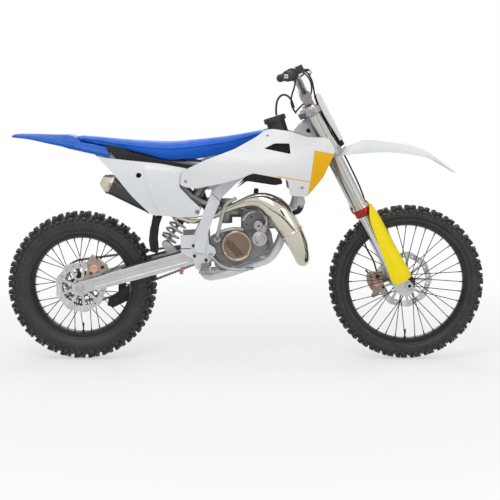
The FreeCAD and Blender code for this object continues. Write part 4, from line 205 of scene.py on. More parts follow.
def tone_variation_group():
    """A slow and a fine unevenness of colour, as rubber, paint and castings have."""
    group = bpy.data.node_groups.new("tone_variation", "ShaderNodeTree")
    group_socket(group, "Colour", "NodeSocketColor", "INPUT", (0.5, 0.5, 0.5, 1))
    group_socket(group, "Second Colour", "NodeSocketColor", "INPUT", (0.4, 0.4, 0.4, 1))
    group_socket(group, "Scale", "NodeSocketFloat", "INPUT", 30)
    group_socket(group, "Colour", "NodeSocketColor", "OUTPUT")
    group_socket(group, "Mask", "NodeSocketFloat", "OUTPUT")
    inside = group.nodes.new("NodeGroupInput")
    outside = group.nodes.new("NodeGroupOutput")
    place = group.nodes.new("ShaderNodeTexCoord")
    noise = group.nodes.new("ShaderNodeTexNoise")
    noise.inputs["Detail"].default_value = 6
    noise.inputs["Roughness"].default_value = 0.65
    spread = group.nodes.new("ShaderNodeMapRange")
    spread.inputs["From Min"].default_value = 0.35
    spread.inputs["From Max"].default_value = 0.68
    mix = group.nodes.new("ShaderNodeMix")
    mix.data_type = "RGBA"
    link = group.links.new
    link(place.outputs["Object"], noise.inputs["Vector"])
    link(inside.outputs["Scale"], noise.inputs["Scale"])
    link(noise.outputs["Fac"], spread.inputs["Value"])
    link(spread.outputs["Result"], mix.inputs["Factor"])
    link(inside.outputs["Colour"], mix.inputs["A"])
    link(inside.outputs["Second Colour"], mix.inputs["B"])
    link(mix.outputs["Result"], outside.inputs["Colour"])
    link(spread.outputs["Result"], outside.inputs["Mask"])
    return group


def fine_relief_group():
    """A height for the small pits and grains of a cast, moulded or sprayed surface."""
    group = bpy.data.node_groups.new("fine_relief", "ShaderNodeTree")
    group_socket(group, "Scale", "NodeSocketFloat", "INPUT", 400)
    group_socket(group, "Stretch", "NodeSocketVector", "INPUT", (1, 1, 1))
    group_socket(group, "Height", "NodeSocketFloat", "OUTPUT")
    inside = group.nodes.new("NodeGroupInput")
    outside = group.nodes.new("NodeGroupOutput")
    place = group.nodes.new("ShaderNodeTexCoord")
    stretch = group.nodes.new("ShaderNodeVectorMath")
    stretch.operation = "MULTIPLY"
    noise = group.nodes.new("ShaderNodeTexNoise")
    noise.inputs["Detail"].default_value = 3
    link = group.links.new
    link(place.outputs["Object"], stretch.inputs[0])
    link(inside.outputs["Stretch"], stretch.inputs[1])
    link(stretch.outputs[0], noise.inputs["Vector"])
    link(inside.outputs["Scale"], noise.inputs["Scale"])
    link(noise.outputs["Fac"], outside.inputs["Height"])
    return group


tone_variation = tone_variation_group()
fine_relief = fine_relief_group()


def finish(name, colour, second, roughness, metallic=0.0, tone_scale=30, relief_scale=500, relief=0.1,
           relief_depth=0.0004, stretch=(1, 1, 1), coat=0.0, rough_spread=0.08, shine=0.5):
    """A surface finish with uneven tone, uneven gloss and a fine relief."""
    material, tree, shader = shader_material(name)
    link = tree.links.new
    tone = tree.nodes.new("ShaderNodeGroup")
    tone.node_tree = tone_variation
    tone.inputs["Colour"].default_value = (*colour, 1)
    tone.inputs["Second Colour"].default_value = (*second, 1)
    tone.inputs["Scale"].default_value = tone_scale
    link(tone.outputs["Colour"], shader.inputs["Base Color"])
    gloss = tree.nodes.new("ShaderNodeMapRange")
    gloss.inputs["To Min"].default_value = max(0.02, roughness - rough_spread)
    gloss.inputs["To Max"].default_value = min(1.0, roughness + rough_spread)
    link(tone.outputs["Mask"], gloss.inputs["Value"])
    link(gloss.outputs["Result"], shader.inputs["Roughness"])
    shader.inputs["Metallic"].default_value = metallic
    shader.inputs["Coat Weight"].default_value = coat
    shader.inputs["Specular IOR Level"].default_value = shine
    grain = tree.nodes.new("ShaderNodeGroup")
    grain.node_tree = fine_relief
    grain.inputs["Scale"].default_value = relief_scale
    grain.inputs["Stretch"].default_value = stretch
    bump = tree.nodes.new("ShaderNodeBump")
    bump.inputs["Strength"].default_value = relief
    bump.inputs["Distance"].default_value = relief_depth
    link(grain.outputs["Height"], bump.inputs["Height"])
    link(bump.outputs["Normal"], shader.inputs["Normal"])
    return material


def new_piece(name, mesh, body, material, smooth_angle):
    """A named piece that rides on a body and takes its finish from a slot."""
    piece = bpy.data.objects.new(name, mesh)
    scene.collection.objects.link(piece)
    mesh.materials.append(material)
    mesh.shade_smooth()
    mesh.set_sharp_from_angle(angle=math.radians(smooth_angle))
    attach(piece, body)
    return piece


def piece_of(name, points, faces, body, material, smooth_angle):
    """A named piece made from its points and faces."""
    mesh = bpy.data.meshes.new(name)
    mesh.from_pydata(points, [], faces)
    mesh.update()
    return new_piece(name, mesh, body, material, smooth_angle)


def ring_mesh(profile, centre, segments):
    """Points and faces of a closed profile of radius and y turned about an axle across the bike."""
    points = []
    faces = []
    count = len(profile)
    for step in range(segments):
        turn = 2 * math.pi * step / segments
        for radius, y in profile:
            points.append((centre[0] + radius * math.sin(turn), centre[1] + y, centre[2] - radius * math.cos(turn)))
    for step in range(segments):
        following = (step + 1) % segments
        for index in range(count):
            after = (index + 1) % count
            faces.append((step * count + index, following * count + index,
                          following * count + after, step * count + after))
    return points, faces


rubber = finish("tyre_rubber", (0.026, 0.026, 0.027), (0.048, 0.047, 0.046), 0.50, tone_scale=18, relief_scale=900,
                relief=0.35, relief_depth=0.0006, shine=0.42)


def tread_block(points, faces, centre, radius, y, lean, turn, length, width, height):
    """One rubber block: length along the tread, width across it, leaning out with the shoulder."""
    out = Vector((math.sin(turn), 0, -math.cos(turn)))
    along = Vector((math.cos(turn), 0, math.sin(turn)))
    across = Vector((0, 1, 0))
    up = out * math.cos(lean) + across * math.sin(lean)
    side = across * math.cos(lean) - out * math.sin(lean)
    foot = Vector(centre) + out * radius + across * y
    start = len(points)
    bevel = 0.0012
    taper = 0.82
    for share, rise in ((1.0, -0.004), (taper + 0.06, height - bevel), (taper, height)):
        for a, b in ((-1, -1), (1, -1), (1, 1), (-1, 1)):
            points.append(tuple(foot + along * (a * share * length / 2) + side * (b * share * width / 2) + up * rise))
    for level in (0, 4):
        for corner in range(4):
            after = (corner + 1) % 4
            faces.append((start + level + corner, start + level + after,
                          start + level + 4 + after, start + level + 4 + corner))
    faces.append((start + 8, start + 9, start + 10, start + 11))


def knobby_tyre(name, node, body, centre, tip, carcass, half, bead, pitches):
    """A tyre with seven staggered rows of blocks, low blocks on its walls and a rim-guard rib at its bead."""
    wall_height = carcass - bead
    wall = [(bead, half * 0.50), (bead + 0.006, half * 0.60), (bead + 0.010, half * 0.64), (bead + 0.013, half * 0.62),
            (bead + 0.018, half * 0.70), (bead + wall_height * 0.42, half * 0.88),
            (bead + wall_height * 0.66, half * 0.90), (bead + wall_height * 0.84, half * 0.78),
            (bead + wall_height * 0.95, half * 0.52), (carcass, half * 0.18)]
    profile = [(radius, -y) for radius, y in wall] + [(radius, y) for radius, y in reversed(wall)]
    points, faces = ring_mesh(profile, centre, 96)
    height = tip - carcass
    step = 2 * math.pi / pitches
    pitch_length = tip * step
    for index in range(pitches):
        turn = index * step
        if index % 2:
            for y in (-0.30, 0.30):
                tread_block(points, faces, centre, carcass - 0.002, y * half, y * 0.55, turn, pitch_length * 0.56,
                            half * 0.30, height + 0.0005)
        else:
            tread_block(points, faces, centre, carcass, 0.0, 0.0, turn, pitch_length * 0.50, half * 0.36,
                        height - 0.0008)
        shift = step * 0.5 if index % 2 else 0.0
        for side in (-1, 1):
            tread_block(points, faces, centre, carcass - wall_height * 0.07, side * half * 0.60, side * 0.52,
                        turn + shift, pitch_length * 0.46, half * 0.25, height * 0.92)
            tread_block(points, faces, centre, carcass - wall_height * 0.20, side * half * 0.80, side * 0.98,
                        turn + step * 0.5, pitch_length * (0.62 if index % 2 else 0.42), half * 0.30, height * 0.66)
            tread_block(points, faces, centre, carcass - wall_height * 0.36, side * half * 0.875, side * 1.42,
                        turn + step * 0.5, pitch_length * (0.50 if index % 2 else 0.26), wall_height * 0.20,
                        height * 0.20)
    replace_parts(piece_of(name, points, faces, body, rubber, 28), node)


rear_centre = (-0.430, 0.0, -0.569)
front_centre = (0.860, 0.0, -0.557)
knobby_tyre("rear_knobby_tyre", "rear_tyre", "rear_wheel", rear_centre, 0.297, 0.2815, 0.0485, 0.2035, 64)
knobby_tyre("front_knobby_tyre", "front_tyre", "front_wheel", front_centre, 0.309, 0.2955, 0.039, 0.2415, 68)

# Rims, spokes and nipples
# Black anodised aluminium rims, rolled to a well with two bead flanges and laced crosswise.
# Each has thirty-six steel spokes with nipples in the rim's well and a valve stem at the bottom.
rim_black = finish("rim_anodised", (0.022, 0.022, 0.024), (0.034, 0.034, 0.036), 0.32, 0.6, tone_scale=12,
                   relief_scale=1400, relief=0.05)
spoke_black = finish("spoke_coating", (0.030, 0.030, 0.032), (0.06, 0.06, 0.062), 0.35, 0.7, tone_scale=60,
                     relief=0.02)
spoke_count = 36


def circle(centre, left, up, radius, sides):
    """Points of a circle in the plane of two directions."""
    turns = [2 * math.pi * side / sides for side in range(sides)]
    return [tuple(centre + left * (radius * math.cos(turn)) + up * (radius * math.sin(turn))) for turn in turns]


def shell_faces(base, sides, rings):
    """Faces round each pair of rings that follow each other, and a cap on the first and on the last ring."""
    faces = []
    for low in range(base, base + (rings - 1) * sides, sides):
        for side in range(sides):
            after = (side + 1) % sides
            faces.append((low + side, low + after, low + sides + after, low + sides + side))
    last = base + (rings - 1) * sides
    faces.append(tuple(base + side for side in reversed(range(sides))))
    faces.append(tuple(last + side for side in range(sides)))
    return faces


def round_bar(points, faces, start, end, radius, sides=8):
    """A straight round bar between two points, closed at both ends."""
    run = (end - start).normalized()
    left = run.orthogonal().normalized()
    up = run.cross(left)
    faces += shell_faces(len(points), sides, 2)
    for centre in (start, end):
        points += circle(centre, left, up, radius, sides)


def bars(name, runs, body, material):
    """A piece made of round bars, each given by its two ends, its radius and its number of sides."""
    points = []
    faces = []
    for run in runs:
        round_bar(points, faces, *run)
    return piece_of(name, points, faces, body, material, 50)


def laced_rim(name, node, body, centre, bead, half, flange_radius, flange_y):
    """The rim as a turned ring and the spokes, nipples and valve as bars."""
    lip = bead + 0.0095
    well = bead - 0.0145
    side = [(well, half * 0.40), (well + 0.001, half * 0.52), (bead - 0.0085, half * 0.94), (bead - 0.004, half),
            (lip - 0.001, half), (lip, half - 0.0008), (lip, half - 0.0025), (lip - 0.001, half - 0.0033),
            (bead - 0.0005, half - 0.0036), (bead - 0.001, half * 0.55), (well + 0.003, half * 0.42)]
    profile = [(radius, -y) for radius, y in side] + [(radius, y) for radius, y in reversed(side)]
    points, faces = ring_mesh(profile, centre, 128)
    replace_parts(piece_of(name, points, faces, body, rim_black, 40), node)
    laced = []
    step = 2 * math.pi / spoke_count
    middle = Vector(centre)
    for index in range(spoke_count):
        lean = 3.2 if index % 4 < 2 else -3.2
        rim_turn = index * step
        hub_turn = rim_turn + lean * step
        y = flange_y if index % 2 else -flange_y
        hub_point = middle + Vector((math.cos(hub_turn) * flange_radius, y, math.sin(hub_turn) * flange_radius))
        reach = well + 0.002
        rim_point = middle + Vector((math.cos(rim_turn) * reach, y * 0.12, math.sin(rim_turn) * reach))
        run = (hub_point - rim_point).normalized()
        laced += [(hub_point, rim_point, 0.00165), (rim_point, rim_point + run * 0.014, 0.0026, 6),
                  (hub_point - run * 0.006, hub_point + run * 0.004, 0.0022, 6)]
    bars(f"{name}_spokes", laced, body, spoke_black)
    foot = middle + Vector((0, 0, -well - 0.002))
    up = Vector((0, 0, 1))
    stem, cap, nut = (0, 0.030, 0.0026, 12), (0.022, 0.036, 0.0042, 12), (0.0005, 0.006, 0.0062, 6)
    bars(f"{name}_valve",
         [(foot + up * low, foot + up * high, radius, sides) for low, high, radius, sides in (stem, cap, nut)], body,
         rubber)


laced_rim("rear_wheel_rim", "rear_rim", "rear_wheel", rear_centre, 0.203, 0.029, 0.0445, 0.036)
laced_rim("front_wheel_rim", "front_rim", "front_wheel", front_centre, 0.241, 0.023, 0.0345, 0.034)

# Hubs, axles and discs
# The hubs are turned from black anodised billet, the axles are hollow zinc-plated steel.
# The wavy brake discs are ground stainless steel with drilled bands, bolted to the hubs.
hub_black = finish("hub_anodised", (0.034, 0.034, 0.037), (0.055, 0.055, 0.060), 0.34, 0.75, tone_scale=25,
                   relief=0.05)
axle_zinc = finish("zinc_plate", (0.56, 0.56, 0.57), (0.44, 0.44, 0.45), 0.30, 1.0, tone_scale=40, relief=0.06)
disc_steel = finish("ground_steel", (0.66, 0.66, 0.66), (0.54, 0.54, 0.55), 0.28, 1.0, tone_scale=20, relief_scale=900,
                    relief=0.10, stretch=(1, 0.1, 1))
bolt_steel = finish("bolt_steel", (0.42, 0.42, 0.44), (0.28, 0.28, 0.29), 0.32, 1.0, tone_scale=80, relief=0.05)


def softened(node, material, width, segments=2):
    """A CAD node with its own finish and with its sharp edges broken, as a file or a mould leaves them."""
    piece = nodes[node]
    piece.data.materials.clear()
    piece.data.materials.append(material)
    weld = piece.modifiers.new("weld", "WELD")
    weld.merge_threshold = 0.00002
    bevel = piece.modifiers.new("broken_edges", "BEVEL")
    bevel.width = width
    bevel.segments = segments
    bevel.limit_method = "ANGLE"
    bevel.angle_limit = math.radians(32)
    bevel.harden_normals = True
    bevel.use_clamp_overlap = True
    return piece


for node, material in (("rear_hub", hub_black), ("front_hub", hub_black), ("rear_axle", axle_zinc),
                       ("front_axle", axle_zinc)):
    softened(node, material, 0.0006)
for node in ("rear_disc", "front_disc"):
    softened(node, disc_steel, 0.0003, segments=1)


def turn_about(points, faces, origin, run, profile, sides):
    """A solid turned about an axis: the profile gives radius and distance along it, from start to end."""
    left = run.orthogonal().normalized()
    up = run.cross(left)
    faces += shell_faces(len(points), sides, len(profile))
    for radius, along in profile:
        points += circle(origin + run * along, left, up, radius, sides)


def bolt_set(name, places, direction, head_radius, head_height, body, material=bolt_steel):
    """Round-headed bolts with a recess, seated on a surface: the places are the middles of their feet."""
    points = []
    faces = []
    run = Vector(direction).normalized()
    head = ((1.0, 0.0), (1.0, 0.7), (0.82, 1.0), (0.52, 1.0), (0.50, 0.45))
    profile = [(share * head_radius, rise * head_height) for share, rise in head]
    for place in places:
        turn_about(points, faces, Vector(place), run, profile, 16)
    return piece_of(name, points, faces, body, material, 40)


def round_pattern(centre, y, radius, count, offset=0.0):
    """Places of a ring of bolts on a face that looks sideways."""
    return [(centre[0] + radius * math.cos(2 * math.pi * (index + offset) / count), y,
             centre[2] + radius * math.sin(2 * math.pi * (index + offset) / count)) for index in range(count)]


bolt_set("rear_disc_bolts", round_pattern(rear_centre, -0.0638, 0.0275, 6), (0, -1, 0), 0.0042, 0.003, "rear_wheel")
bolt_set("front_disc_bolts", round_pattern(front_centre, 0.0638, 0.0275, 6), (0, 1, 0), 0.0042, 0.003, "front_wheel")
bolt_set("rear_sprocket_bolts", round_pattern(rear_centre, 0.0624, 0.0275, 6), (0, 1, 0), 0.0045, 0.004, "rear_wheel")

# Chain and sprockets
# A roller chain of waisted side plates, inner and outer by turns, on pins with bushed rollers.
# The rear sprocket is a machined steel ring on six arms, so the light shows through it.
chain_steel = finish("oiled_chain_steel", (0.20, 0.185, 0.165), (0.33, 0.31, 0.28), 0.38, 0.9, tone_scale=120,
                     relief=0.1)
sprocket_steel = finish("machined_sprocket", (0.40, 0.40, 0.41), (0.28, 0.28, 0.29), 0.36, 1.0, tone_scale=25,
                        relief=0.12)
wheelbase = 1290
saddle_height = 866
rear_axle_back = 430


def bike(x, y, z):
    """A place given in millimetres from the floor under the rear axle, in the frame of the CAD model."""
    return Vector(((x - rear_axle_back) / 1000, y / 1000, (z - saddle_height) / 1000))


chain_pitch = 12.7
rear_teeth = 46
drive_teeth = 14
rear_axis = (0, 297)
drive_axis = (540, 438)
chain_y = 0.060


def chain_stations():
    """The middle of every pin round both sprockets, in millimetres."""
    rear = chain_pitch / 2 / math.sin(math.pi / rear_teeth)
    drive = chain_pitch / 2 / math.sin(math.pi / drive_teeth)
    reach = drive_axis[0] - rear_axis[0]
    rise = drive_axis[1] - rear_axis[1]
    slope = math.atan2(rise, reach)
    distance = math.hypot(reach, rise)
    cone = math.asin((rear - drive) / distance)
    straight = distance * math.cos(cone)
    rear_wrap = rear * (math.pi + 2 * cone)
    drive_wrap = drive * (math.pi - 2 * cone)
    total = rear_wrap + drive_wrap + 2 * straight
    links = round(total / chain_pitch / 2) * 2
    upper = slope + math.pi / 2 - cone
    lower = slope - math.pi / 2 + cone
    stations = []
    for index in range(links):
        run = total * index / links
        if run < rear_wrap:
            centre, radius, turn, along = rear_axis, rear, lower - run / rear, 0
        elif run < rear_wrap + straight:
            centre, radius, turn, along = rear_axis, rear, upper, run - rear_wrap
        elif run < rear_wrap + straight + drive_wrap:
            centre, radius, turn, along = drive_axis, drive, upper - (run - rear_wrap - straight) / drive, 0
        else:
            centre, radius, turn, along = drive_axis, drive, lower, run - rear_wrap - straight - drive_wrap
        stations.append((centre[0] + radius * math.cos(turn) + along * math.sin(turn),
                         centre[1] + radius * math.sin(turn) - along * math.cos(turn)))
    return stations


def link_plate(points, faces, start, end, y, wall, height):
    """One waisted side plate between two pins."""
    run = (end - start).normalized()
    up = Vector((-run.z, 0, run.x))
    outline = []
    for centre, direction in ((end, 1), (start, -1)):
        for step in range(7):
            turn = math.pi * (step / 6 - 0.5)
            outline.append(centre + run * (direction * math.cos(turn) * height)
                           + up * (direction * math.sin(turn) * height))
        middle = (start + end) / 2
        outline.append(middle + up * (direction * height * 0.62))
    base = len(points)
    for level in (y - wall / 2, y + wall / 2):
        for corner in outline:
            points.append((corner.x, level, corner.z))
    faces += shell_faces(base, len(outline), 2)


points = []
faces = []
pins = [bike(x, 1000 * chain_y, z) for x, z in chain_stations()]
for index, pin in enumerate(pins):
    following = pins[(index + 1) % len(pins)]
    reach = 0.0052 if index % 2 else 0.0036
    for side in (-1, 1):
        link_plate(points, faces, pin, following, chain_y + side * reach, 0.0013, 0.0052)
    for half, radius, sides in ((0.0064, 0.0019, 8), (0.0030, 0.0038, 10)):
        out = Vector((0, half, 0))
        round_bar(points, faces, pin - out, pin + out, radius, sides)
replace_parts(piece_of("roller_chain", points, faces, "chassis", chain_steel, 40), "chain")


def open_sprocket(name, body, centre, tip, root, teeth, ring_inner, hub_outer, bore, arms, half):
    """A toothed ring joined to its hub ring by arms."""
    points = []
    faces = []
    steps = teeth * 4
    levels = (-half, half)
    outer = [tip if step % 4 in (1, 2) else root for step in range(steps)]
    for y in levels:
        for radii in (outer, [ring_inner] * steps):
            for step, radius in enumerate(radii):
                turn = 2 * math.pi * step / steps
                points.append((centre[0] + radius * math.cos(turn), centre[1] + y,
                               centre[2] + radius * math.sin(turn)))
    low, low_in, high, high_in = 0, steps, 2 * steps, 3 * steps
    for step in range(steps):
        after = (step + 1) % steps
        faces.append((low + step, low + after, low_in + after, low_in + step))
        faces.append((high_in + step, high_in + after, high + after, high + step))
        faces.append((high + step, high + after, low + after, low + step))
        faces.append((low_in + step, low_in + after, high_in + after, high_in + step))
    hub_profile = [(bore, -half), (hub_outer, -half), (hub_outer, half), (bore, half)]
    hub_points, hub_faces = ring_mesh(hub_profile, centre, 48)
    faces += [tuple(len(points) + corner for corner in hub_face) for hub_face in hub_faces]
    points += hub_points
    for index in range(arms):
        turn = 2 * math.pi * index / arms
        out = Vector((math.cos(turn), 0, math.sin(turn)))
        side = Vector((-math.sin(turn), 0, math.cos(turn)))
        base = len(points)
        for y in levels:
            for reach, wide in ((hub_outer - 0.002, 0.008), (ring_inner + 0.001, 0.006)):
                for hand in (-1, 1):
                    points.append(tuple(Vector(centre) + Vector((0, y, 0)) + out * reach + side * (hand * wide)))
        for corners in ((0, 1, 3, 2), (4, 6, 7, 5), (0, 4, 5, 1), (2, 3, 7, 6), (0, 2, 6, 4), (1, 5, 7, 3)):
            faces.append(tuple(base + corner for corner in corners))
    return piece_of(name, points, faces, body, sprocket_steel, 30)


rear_ring = open_sprocket("rear_sprocket_ring", "rear_wheel", (rear_centre[0], chain_y, rear_centre[2]), 0.0862,
                          0.0805, rear_teeth, 0.068, 0.036, 0.021, 6, 0.0024)
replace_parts(rear_ring, "rear_sprocket")
softened("drive_sprocket", sprocket_steel, 0.0003, segments=1)

# Frame, subframe and swingarm
# The frame is a white painted twin-spar weldment, the swingarm a cast aluminium piece.
# Both keep their CAD form with broken edges. Bolts hold the frame's plates and nuts the rear axle.


def line_mask_group():
    """One on the far side of a straight line in the bike's side view, and nothing on the near side."""
    group = bpy.data.node_groups.new("line_mask", "ShaderNodeTree")
    group_socket(group, "Place", "NodeSocketVector", "INPUT", (0, 0, 0))
    group_socket(group, "Direction", "NodeSocketVector", "INPUT", (1, 0, 0))
    group_socket(group, "Mask", "NodeSocketFloat", "OUTPUT")
    inside = group.nodes.new("NodeGroupInput")
    outside = group.nodes.new("NodeGroupOutput")
    where = group.nodes.new("ShaderNodeTexCoord")
    offset = group.nodes.new("ShaderNodeVectorMath")
    offset.operation = "SUBTRACT"
    dot = group.nodes.new("ShaderNodeVectorMath")
    dot.operation = "DOT_PRODUCT"
    ramp = group.nodes.new("ShaderNodeMapRange")
    ramp.inputs["From Min"].default_value = -0.0004
    ramp.inputs["From Max"].default_value = 0.0004
    link = group.links.new
    link(where.outputs["Object"], offset.inputs[0])
    link(inside.outputs["Place"], offset.inputs[1])
    link(offset.outputs[0], dot.inputs[0])
    link(inside.outputs["Direction"], dot.inputs[1])
    link(dot.outputs["Value"], ramp.inputs["Value"])
    link(ramp.outputs["Result"], outside.inputs["Mask"])
    return group


line_mask = line_mask_group()


def inside_lines(tree, corners):
    """A mask of the inside of a convex outline in the side view, its corners in turn in millimetres."""
    middle = Vector((sum(x for x, z in corners) / len(corners), 0, sum(z for x, z in corners) / len(corners)))
    masks = []
    for (x0, z0), (x1, z1) in zip(corners, (*corners[1:], corners[0])):
        normal = Vector((z1 - z0, 0, x0 - x1)).normalized()
        if normal.dot(middle - Vector((x0, 0, z0))) < 0:
            normal = -normal
        mask = tree.nodes.new("ShaderNodeGroup")
        mask.node_tree = line_mask
        mask.inputs["Place"].default_value = bike(x0, 0, z0)
        mask.inputs["Direction"].default_value = normal
        masks.append(mask.outputs["Mask"])
    return combined(tree, masks, "MULTIPLY")


def printed(material, areas, colour, second):
    """Areas of another colour over a finish: printed ink, and on the frame also a slot darkened as painted shade."""
    tree = material.node_tree
    link = tree.links.new
    shader = tree.nodes["Principled BSDF"]
    printed_share = combined(tree, [inside_lines(tree, corners) for corners in areas], "MAXIMUM")
    ink = tree.nodes.new("ShaderNodeGroup")
    ink.node_tree = tone_variation
    ink.inputs["Colour"].default_value = (*colour, 1)
    ink.inputs["Second Colour"].default_value = (*second, 1)
    ink.inputs["Scale"].default_value = 8
    mix = tree.nodes.new("ShaderNodeMix")
    mix.data_type = "RGBA"
    before = shader.inputs["Base Color"].links[0].from_socket
    link(printed_share, mix.inputs["Factor"])
    link(before, mix.inputs["A"])
    link(ink.outputs["Colour"], mix.inputs["B"])
    link(mix.outputs["Result"], shader.inputs["Base Color"])
    return material


frame_white = finish("frame_paint", (0.74, 0.755, 0.77), (0.69, 0.705, 0.72), 0.34, tone_scale=6, relief_scale=700,
                     relief=0.05, coat=0.25)
seam_dark = ((520, 670.6), (522, 672.8), (550, 645), (548, 642.8))
# A near-black band printed over the slot behind the frame's plate: painted shade of the slot.
slot_painted_shade = ((391, 453.5), (391, 457), (438, 457.5), (438, 454))
arm_alloy = finish("cast_alloy", (0.68, 0.68, 0.67), (0.58, 0.58, 0.58), 0.40, 0.75, tone_scale=14, relief_scale=1200,
                   relief=0.16)
rail_grey = finish("rail_paint", (0.42, 0.43, 0.44), (0.36, 0.37, 0.38), 0.45, 0.3, tone_scale=14, relief=0.08)
softened("main_frame", printed(frame_white, [seam_dark, slot_painted_shade], (0.03, 0.03, 0.03), (0.05, 0.05, 0.05)), 0.0022,
         segments=3)
softened("subframe", rail_grey, 0.0005)
softened("swingarm", arm_alloy, 0.0022, segments=3)
softened("footpegs",
         finish("peg_casting", (0.45, 0.45, 0.45), (0.30, 0.30, 0.30), 0.42, 0.9, tone_scale=60, relief_scale=900,
                relief=0.3), 0.0008)
black_rubber = finish("guide_rubber", (0.020, 0.020, 0.021), (0.034, 0.034, 0.035), 0.60, tone_scale=40,
                      relief_scale=900, relief=0.2)
softened("chain_guides", black_rubber, 0.0012)


def turned(name, centre, profile, sides, body, material, smooth_angle, axis=(0, 1, 0)):
    """A turned piece, such as a nut, a ring or a cap, on its own axis."""
    points = []
    faces = []
    turn_about(points, faces, Vector(centre), Vector(axis).normalized(), profile, sides)
    return piece_of(name, points, faces, body, material, smooth_angle)


both_sides = ((-1, "right"), (1, "left"))
plate_bolts = [(447, 467), (451, 427), (496, 411)]
for side, hand in both_sides:
    bolt_set(f"frame_plate_bolts_{hand}", [bike(x, side * 112, z) for x, z in plate_bolts], (0, side, 0), 0.0062,
             0.0045, "chassis", hub_black)
for side, hand in both_sides:
    turned(f"axle_nut_{hand}", bike(0, side * 98.4, 297),
           [(0.0150, 0.0), (0.0150, 0.0065), (0.0135, 0.0080), (0.0105, 0.0080), (0.0100, 0.0060)], 6, "chassis",
           axle_zinc, 20, (0, side, 0))
tag_pink = finish("tag_pink", (0.62, 0.16, 0.36), (0.52, 0.12, 0.30), 0.55, tone_scale=60, relief=0.1)
bars("pink_tag", [(bike(405, -86, 394), bike(397, -86, 352), 0.0075, 12)], "chassis", tag_pink)

# Engine
# A liquid-cooled two-stroke: dark grey cases, a bronze-coloured clutch cover and a grey cast cylinder.
# The clutch cover is a spun dish with a polished bevel, cast ribs across its face and bolts round its rim.
engine_black = finish("engine_paint", (0.260, 0.257, 0.252), (0.165, 0.163, 0.160), 0.40, 0.70, tone_scale=24,
                      relief_scale=1000, relief=0.22)
cylinder_grey = finish("cast_cylinder", (0.27, 0.27, 0.275), (0.19, 0.19, 0.195), 0.50, 0.55, tone_scale=30,
                       relief_scale=750, relief=0.40)
carburettor_alloy = finish("carburettor_alloy", (0.36, 0.35, 0.33), (0.25, 0.245, 0.235), 0.42, 0.8, tone_scale=40,
                           relief_scale=900, relief=0.25)
cover_bronze = finish("cover_bronze", (0.235, 0.158, 0.118), (0.275, 0.190, 0.145), 0.40, 0.35, tone_scale=16,
                      relief_scale=900, relief=0.16)
bevel_bright = finish("cover_bevel", (0.62, 0.53, 0.40), (0.50, 0.42, 0.31), 0.22, 1.0, tone_scale=30, relief=0.05)
cast_light = finish("light_casting", (0.56, 0.56, 0.55), (0.44, 0.44, 0.43), 0.42, 0.75, tone_scale=26,
                    relief_scale=900, relief=0.25)
lever_steel = finish("lever_alloy", (0.46, 0.46, 0.46), (0.36, 0.36, 0.36), 0.36, 0.9, tone_scale=30, relief=0.12)
softened("crankcase", engine_black, 0.0022, segments=3)
softened("cylinder", cylinder_grey, 0.0016, segments=3)
softened("carburettor", carburettor_alloy, 0.0012)
softened("foot_levers", lever_steel, 0.0012)
cover_middle = bike(615, 0, 466)
face_y = -0.1043
bevel_profile = [(0.0476, face_y), (0.0482, -0.1060), (0.0535, -0.1081), (0.0556, -0.1078), (0.0600, -0.1036),
                 (0.0612, -0.1015), (0.0605, -0.0990), (0.0585, -0.0985), (0.0515, face_y + 0.0006)]
turned("clutch_cover_bevel", (cover_middle.x, 0, cover_middle.z), bevel_profile, 96, "chassis", bevel_bright,
       25)
softened("clutch_cover", cover_bronze, 0.0010)
cover_ribs = []
lean = math.radians(-50)
along = Vector((math.cos(lean), 0, math.sin(lean)))
across = Vector((-math.sin(lean), 0, math.cos(lean)))
for offset, start_share in ((-0.004, 0.55), (-0.011, 0.85), (-0.018, 0.92), (-0.025, 0.95)):
    reach = math.sqrt(0.0445 ** 2 - offset ** 2)
    middle = cover_middle + across * offset
    middle.y = face_y - 0.0007
    cover_ribs.append((middle - along * (start_share * reach), middle + along * (reach * 0.95), 0.0018, 10))
rib_shadow = finish("rib_shadow", (0.075, 0.048, 0.034), (0.10, 0.065, 0.047), 0.45, 0.3, tone_scale=40, relief=0.1)
bars("clutch_cover_ribs", cover_ribs, "chassis", rib_shadow)
rim_places = round_pattern((cover_middle.x, 0, cover_middle.z), -0.1066, 0.0515, 6, 0.35)
bolt_set("clutch_cover_bolts", rim_places, (0, -1, 0), 0.0052, 0.0032, "chassis")

# The kick starter's round housing, the water pump and the bolts of the side cover.
turned("kick_boss_ring", bike(536, 0, 486),
       [(0.0265, -0.092), (0.0265, -0.0955), (0.024, -0.0985), (0.0195, -0.0990), (0.0185, -0.0965),
        (0.0175, -0.0962)], 64, "chassis", engine_black, 30)
pump = bike(705, 0, 492)
turned("water_pump", (pump.x, 0, pump.z),
       [(0.031, -0.058), (0.031, -0.090), (0.0285, -0.0955), (0.020, -0.0975), (0.0185, -0.1015), (0.0165, -0.1030),
        (0.012, -0.1035)], 56, "chassis", cast_light, 28)
turned("pump_spigot", bike(712, -78, 510),
       [(0.0115, 0.0), (0.0115, 0.028), (0.0130, 0.030), (0.0130, 0.034), (0.0112, 0.036)], 32, "chassis", cast_light,
       30, (0.45, 0.0, 0.89))
bolt_set("pump_bolts", round_pattern((pump.x, 0, pump.z), -0.0932, 0.0272, 5, 0.2), (0, -1, 0), 0.0036, 0.0026,
         "chassis")
gold = finish("gold_bolt", (0.62, 0.40, 0.10), (0.50, 0.31, 0.08), 0.28, 1.0, tone_scale=60, relief=0.05)
red_anodised = finish("red_anodise", (0.36, 0.012, 0.010), (0.48, 0.020, 0.014), 0.30, 0.5, tone_scale=60, relief=0.05)
bolt_set("drain_screw", [bike(695, -103.2, 478)], (0, -1, 0), 0.0050, 0.0045, "chassis", gold)
case_bolts = [(533, 470), (538, 428), (560, 396), (596, 392), (660, 404), (712, 438), (668, 512), (606, 514),
              (562, 511), (640, 398)]
